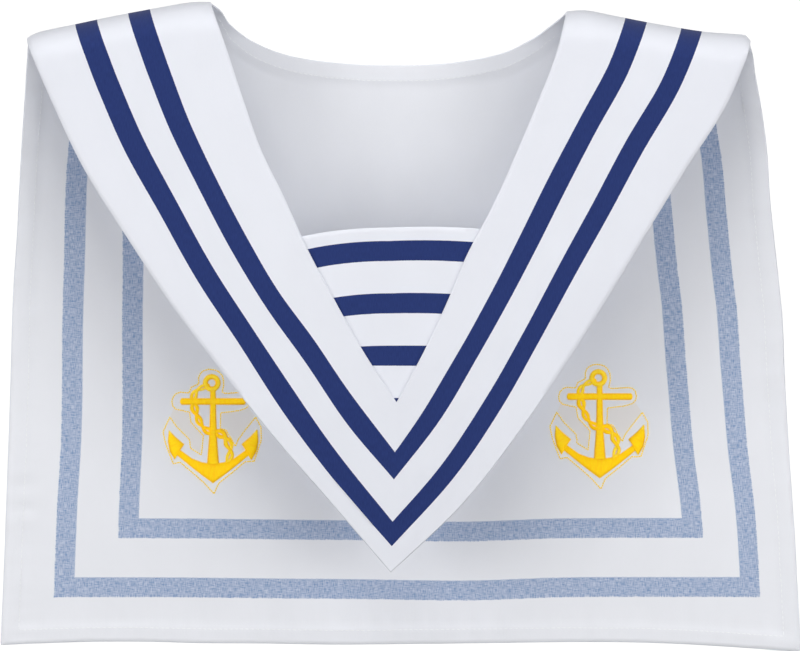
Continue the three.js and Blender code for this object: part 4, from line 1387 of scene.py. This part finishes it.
class Embroidery:
    """Gathers the satin columns of one anchor on one face of the back panel."""

    # Shares of the anchor's height: how far threads lean by chance, and how far they reach
    # past the rails on a crest and between two crests.
    LEAN, ON_CREST, BETWEEN = 0.0028, 0.004, -0.003
    # Metres: the column width from which a satin has its full lift, how deep its edges and a
    # patch lie in the cloth, and the wall of all strips.
    FULL_WIDTH, EDGE_DEPTH, PATCH_DEPTH, WALL = 0.0035, 0.00012, 0.00015, 0.0003

    def __init__(self, drape, anchors, side, face):
        self.drape, self.anchors, self.face = drape, anchors, face
        self.origin = Vector((
            SIDES[side] * anchors.spacing / 2 + anchors.shift,
            -anchors.drop - anchors.height - ANCHOR_FALL[side],
        ))
        self.vertices, self.faces, self.lays = [], [], []
        self.first_patch = math.inf
        self.seed = 11.0 if side == "left" else 23.0

    def place(self, share, lift):
        """A point over the cloth: share is in the anchor's own frame, lift in metres."""
        x = self.origin.x + share.x * self.anchors.height
        z = self.origin.y + share.y * self.anchors.height
        if self.face > 0:
            return self.drape.back_point(x, z, lift)
        return self.drape.back_point(x, z, -self.drape.cloth.wall - lift)

    def satin(self, rails, lift=1.0, base=0.0, width=6):
        """Lays threads from the first rail to the second, side by side."""
        anchors = self.anchors
        a_rail, b_rail = zip(*rails)
        middle = [(a + b) / 2 for a, b in rails]
        length = lengths_along(middle)[-1] * anchors.height
        count = max(4, round(length / anchors.thread))
        a_points, b_points = even_route(a_rail, count * 2), even_route(b_rail, count * 2)
        first = len(self.vertices)
        for n, (a, b) in enumerate(zip(a_points, b_points)):
            crest = n % 2 == 1
            lean = self.LEAN * noise.noise(Vector((n * 0.71, self.seed, len(rails))))
            over = self.ON_CREST if crest else self.BETWEEN
            span = (b - a).normalized() if (b - a).length > 1e-6 else Vector((0.0, 0.0))
            start, end = a - span * (over + lean), b + span * (over - lean)
            across = (b - a).length * anchors.height
            broad = clamp(across / self.FULL_WIDTH, 0.35, 1.0)
            proud = anchors.lift * lift * broad * (1.0 if crest else 0.72)
            for m in range(width + 1):
                share = m / width
                dome = math.sqrt(max(0.0, 1 - (2 * share - 1) ** 4))
                rise = base + proud * dome - self.EDGE_DEPTH
                self.vertices.append(self.place(start.lerp(end, share), rise))
                self.lays.append((n * anchors.thread / 2, share * across, share))
        for n in range(count * 2):
            for m in range(width):
                p = first + n * (width + 1) + m
                self.faces.append((p, p + 1, p + width + 2, p + width + 1))

    def running(self, points, pitch, thickness):
        """Small round stitches along a closed line."""
        closed = [Vector(p) for p in points] + [Vector(points[0])]
        length = lengths_along(closed)[-1] * self.anchors.height
        count = round(length / pitch)
        line = even_route(closed, count * 4)
        for n in range(count):
            a, b = line[4 * n], line[4 * n + 2]
            shift = Vector([noise.noise(Vector((n * 0.9, row, self.seed))) for row in (1.0, 6.0)])
            shift *= 0.003
            self.dash(a + shift, b + shift, thickness)

    def dash(self, a, b, thickness):
        """One running stitch: a low round bar with tapered ends."""
        along = (b - a).normalized()
        side = Vector((-along.y, along.x))
        first = len(self.vertices)
        half = thickness / self.anchors.height / 2
        for k in range(5):
            share = k / 4
            bend = math.sqrt(max(0.0, 1 - (2 * share - 1) ** 2))
            for turn in (-1.0, -0.5, 0.5, 1.0):
                point = a.lerp(b, share) + side * half * turn * mix(0.4, 1.0, bend)
                rise = thickness * (0.75 * bend * math.sqrt(1 - 0.8 * turn**2) - 0.25)
                self.vertices.append(self.place(point, rise))
                self.lays.append((share * 0.001, turn * thickness / 2, 0.5))
        for k in range(4):
            for m in range(3):
                p = first + k * 4 + m
                self.faces.append((p, p + 1, p + 5, p + 4))

    def backing(self, middle, points):
        """A thin patch laid on the cloth: rings of points from its middle to its edge."""
        edge = even_route([Vector(p) for p in points] + [Vector(points[0])], 72)[:-1]
        if sum(p.x * q.y - q.x * p.y for p, q in zip(edge, edge[1:] + edge[:1])) > 0:
            edge.reverse()
        first = len(self.vertices)
        rings = 8
        for k in range(1, rings + 1):
            for point in edge:
                self.vertices.append(self.place(middle.lerp(point, k / rings), -self.PATCH_DEPTH))
                self.lays.append((0.0, 0.0, 0.5))
        self.vertices.append(self.place(middle, -self.PATCH_DEPTH))
        self.lays.append((0.0, 0.0, 0.5))
        count = len(edge)
        self.first_patch = min(self.first_patch, len(self.faces))
        for n in range(count):
            after = (n + 1) % count
            self.faces.append((len(self.vertices) - 1, first + n, first + after))
            for k in range(rings - 1):
                p, q = first + k * count + n, first + k * count + after
                self.faces.append((p, p + count, q + count, q))

    def finish(self, name, material, backing):
        """Makes one piece of all strips and gives them a wall that lies in the cloth."""
        mesh = bpy.data.meshes.new(name)
        mesh.from_pydata([tuple(v) for v in self.vertices], [], self.faces)
        lay_threads(mesh, self.lays)
        mesh.materials.append(material)
        mesh.materials.append(backing)
        for polygon in mesh.polygons:
            polygon.material_index = int(polygon.index >= self.first_patch)
        piece = linked(name, mesh)
        wall = piece.modifiers.new("thread_wall", "SOLIDIFY")
        wall.thickness = self.WALL
        wall.offset = -1.0
        bpy.ops.object.modifier_apply(modifier=wall.name)
        return shaded(piece, 65)


class COLLAR_OT_anchors(Operator):
    """Embroiders the two anchors on both faces of the back panel"""

    bl_idname = "collar.anchors"
    bl_label = "Anchors"

    def execute(self, context):
        scene = context.scene
        drape = Drape(scene)
        anchors = scene.collar_anchors
        yellow = shared_material(scene, "yellow embroidery thread")
        backing = shared_material(scene, "embroidery backing")
        for side in SIDES:
            for face, ending in ((1, ""), (-1, "_reverse")):
                work = Embroidery(drape, anchors, side, face)
                work.satin(mirrored_rails(SHANK_RAILS, 1.0))
                work.satin(mirrored_rails(STOCK_RAILS, 1.0), lift=1.15, base=0.0001)
                arms = mirrored_rails(ARM_RAILS, -1.0)[:-1] + mirrored_rails(ARM_RAILS, 1.0)[::-1]
                work.satin(arms, lift=1.1)
                for sign in (-1.0, 1.0):
                    work.satin(mirrored_rails(FLUKE_RAILS, sign), base=0.0002)
                work.satin(ring_rails(), width=5)
                for phase, base in ((0.0, 0.0001), (math.pi, 0.0003)):
                    work.satin(rope_rails(phase), lift=0.8, base=base, width=4)
                work.running(CONTOUR_POINTS, 0.0013, 0.00027)
                if face < 0:
                    for patch in BACKING_PATCHES:
                        work.backing(Vector(patch["middle"]), patch["round"])
                piece = work.finish(f"{side}_anchor_embroidery{ending}", yellow, backing)
                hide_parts(f"{side}_anchor{ending}")
        return {"FINISHED"}


def stage_piece(piece, name, colour, glow):
    """A part of the studio that the camera sees but that throws no light on the collar."""
    material = bpy.data.materials.new(name)
    material.use_nodes = True
    shader = material.node_tree.nodes["Principled BSDF"]
    shader.inputs["Base Color"].default_value = (*colour, 1.0)
    shader.inputs["Roughness"].default_value = 0.9
    shader.inputs["Emission Color"].default_value = (1.0, 1.0, 1.0, 1.0)
    shader.inputs["Emission Strength"].default_value = glow
    piece.name = name
    piece.data.materials.append(material)
    piece.visible_diffuse = piece.visible_glossy = piece.visible_shadow = False


class COLLAR_OT_stage(Operator):
    """Sets the floor, the backdrop, the soft light and the camera"""

    bl_idname = "collar.stage"
    bl_label = "Stage"

    def execute(self, context):
        scene = context.scene
        studio = scene.collar_studio
        bpy.ops.object.select_all(action="DESELECT")
        bpy.ops.mesh.primitive_plane_add(size=studio.floor_size, location=(0.0, 0.0, studio.floor))
        stage_piece(context.object, "floor", (0.9, 0.9, 0.9), 0.6)
        bpy.ops.mesh.primitive_uv_sphere_add(
            radius=studio.backdrop_radius, location=(0.0, 0.0, studio.aim_up)
        )
        stage_piece(context.object, "backdrop", (0.0, 0.0, 0.0), 1.05)
        world = bpy.data.worlds.new("studio")
        world.use_nodes = True
        background = world.node_tree.nodes["Background"]
        background.inputs["Color"].default_value = (0.97, 0.98, 1.0, 1.0)
        background.inputs["Strength"].default_value = studio.fill
        scene.world = world
        target = Vector((studio.aim_across, 0.0, studio.aim_up))
        for box in SOFTBOXES:
            light = bpy.data.lights.new(box["name"], "AREA")
            light.shape = "SQUARE"
            light.size = studio.light_size
            light.energy = box["power"]
            turn, rise = math.radians(box["azimuth"]), math.radians(box["elevation"])
            out = Vector((math.sin(turn), -math.cos(turn), 0.0)) * math.cos(rise)
            out.z = math.sin(rise)
            lamp = bpy.data.objects.new(box["name"], light)
            lamp.location = target + out * studio.light_distance
            lamp.rotation_euler = (-out).to_track_quat("-Z", "Y").to_euler()
            scene.collection.objects.link(lamp)
        lens = bpy.data.cameras.new("camera")
        lens.lens = lens.sensor_width * studio.distance / studio.view_width
        lens.clip_end = 20.0
        camera = bpy.data.objects.new("camera", lens)
        camera.location = (studio.aim_across, -studio.distance, studio.aim_up)
        camera.rotation_euler = (math.pi / 2, 0.0, 0.0)
        scene.collection.objects.link(camera)
        scene.camera = camera
        scene.view_settings.view_transform = "Standard"
        return {"FINISHED"}


OPERATORS = (COLLAR_OT_front, COLLAR_OT_back, COLLAR_OT_insert, COLLAR_OT_anchors, COLLAR_OT_stage)


class COLLAR_PT_panel(Panel):
    """The collar's sizes and steps"""

    bl_label = "Sailor collar"
    bl_idname = "COLLAR_PT_panel"
    bl_space_type = "VIEW_3D"
    bl_region_type = "UI"
    bl_category = "Collar"

    def draw(self, context):
        for operator in OPERATORS:
            self.layout.operator(operator.bl_idname)
        for key in GROUPS:
            box = self.layout.box()
            group = getattr(context.scene, key)
            for name in group.bl_rna.properties.keys():
                if name not in ("rna_type", "name"):
                    box.prop(group, name)


GROUPS = {
    "collar_outline": CollarOutline,
    "collar_drape": CollarDrape,
    "collar_cloth": CollarCloth,
    "collar_anchors": CollarAnchors,
    "collar_colours": CollarColours,
    "collar_studio": CollarStudio,
}


def register():
    for group in GROUPS.values():
        bpy.utils.register_class(group)
    for cls in (*OPERATORS, COLLAR_PT_panel):
        bpy.utils.register_class(cls)
    for key, group in GROUPS.items():
        setattr(bpy.types.Scene, key, PointerProperty(type=group))


def unregister():
    for key in GROUPS:
        delattr(bpy.types.Scene, key)
    for cls in (COLLAR_PT_panel, *reversed(OPERATORS), *GROUPS.values()):
        bpy.utils.unregister_class(cls)


def main():
    register()
    bpy.ops.object.select_all(action="DESELECT")
    bpy.ops.collar.front()
    bpy.ops.collar.back()
    bpy.ops.collar.insert()
    bpy.ops.collar.anchors()
    bpy.ops.collar.stage()


if __name__ == "__main__":
    main()
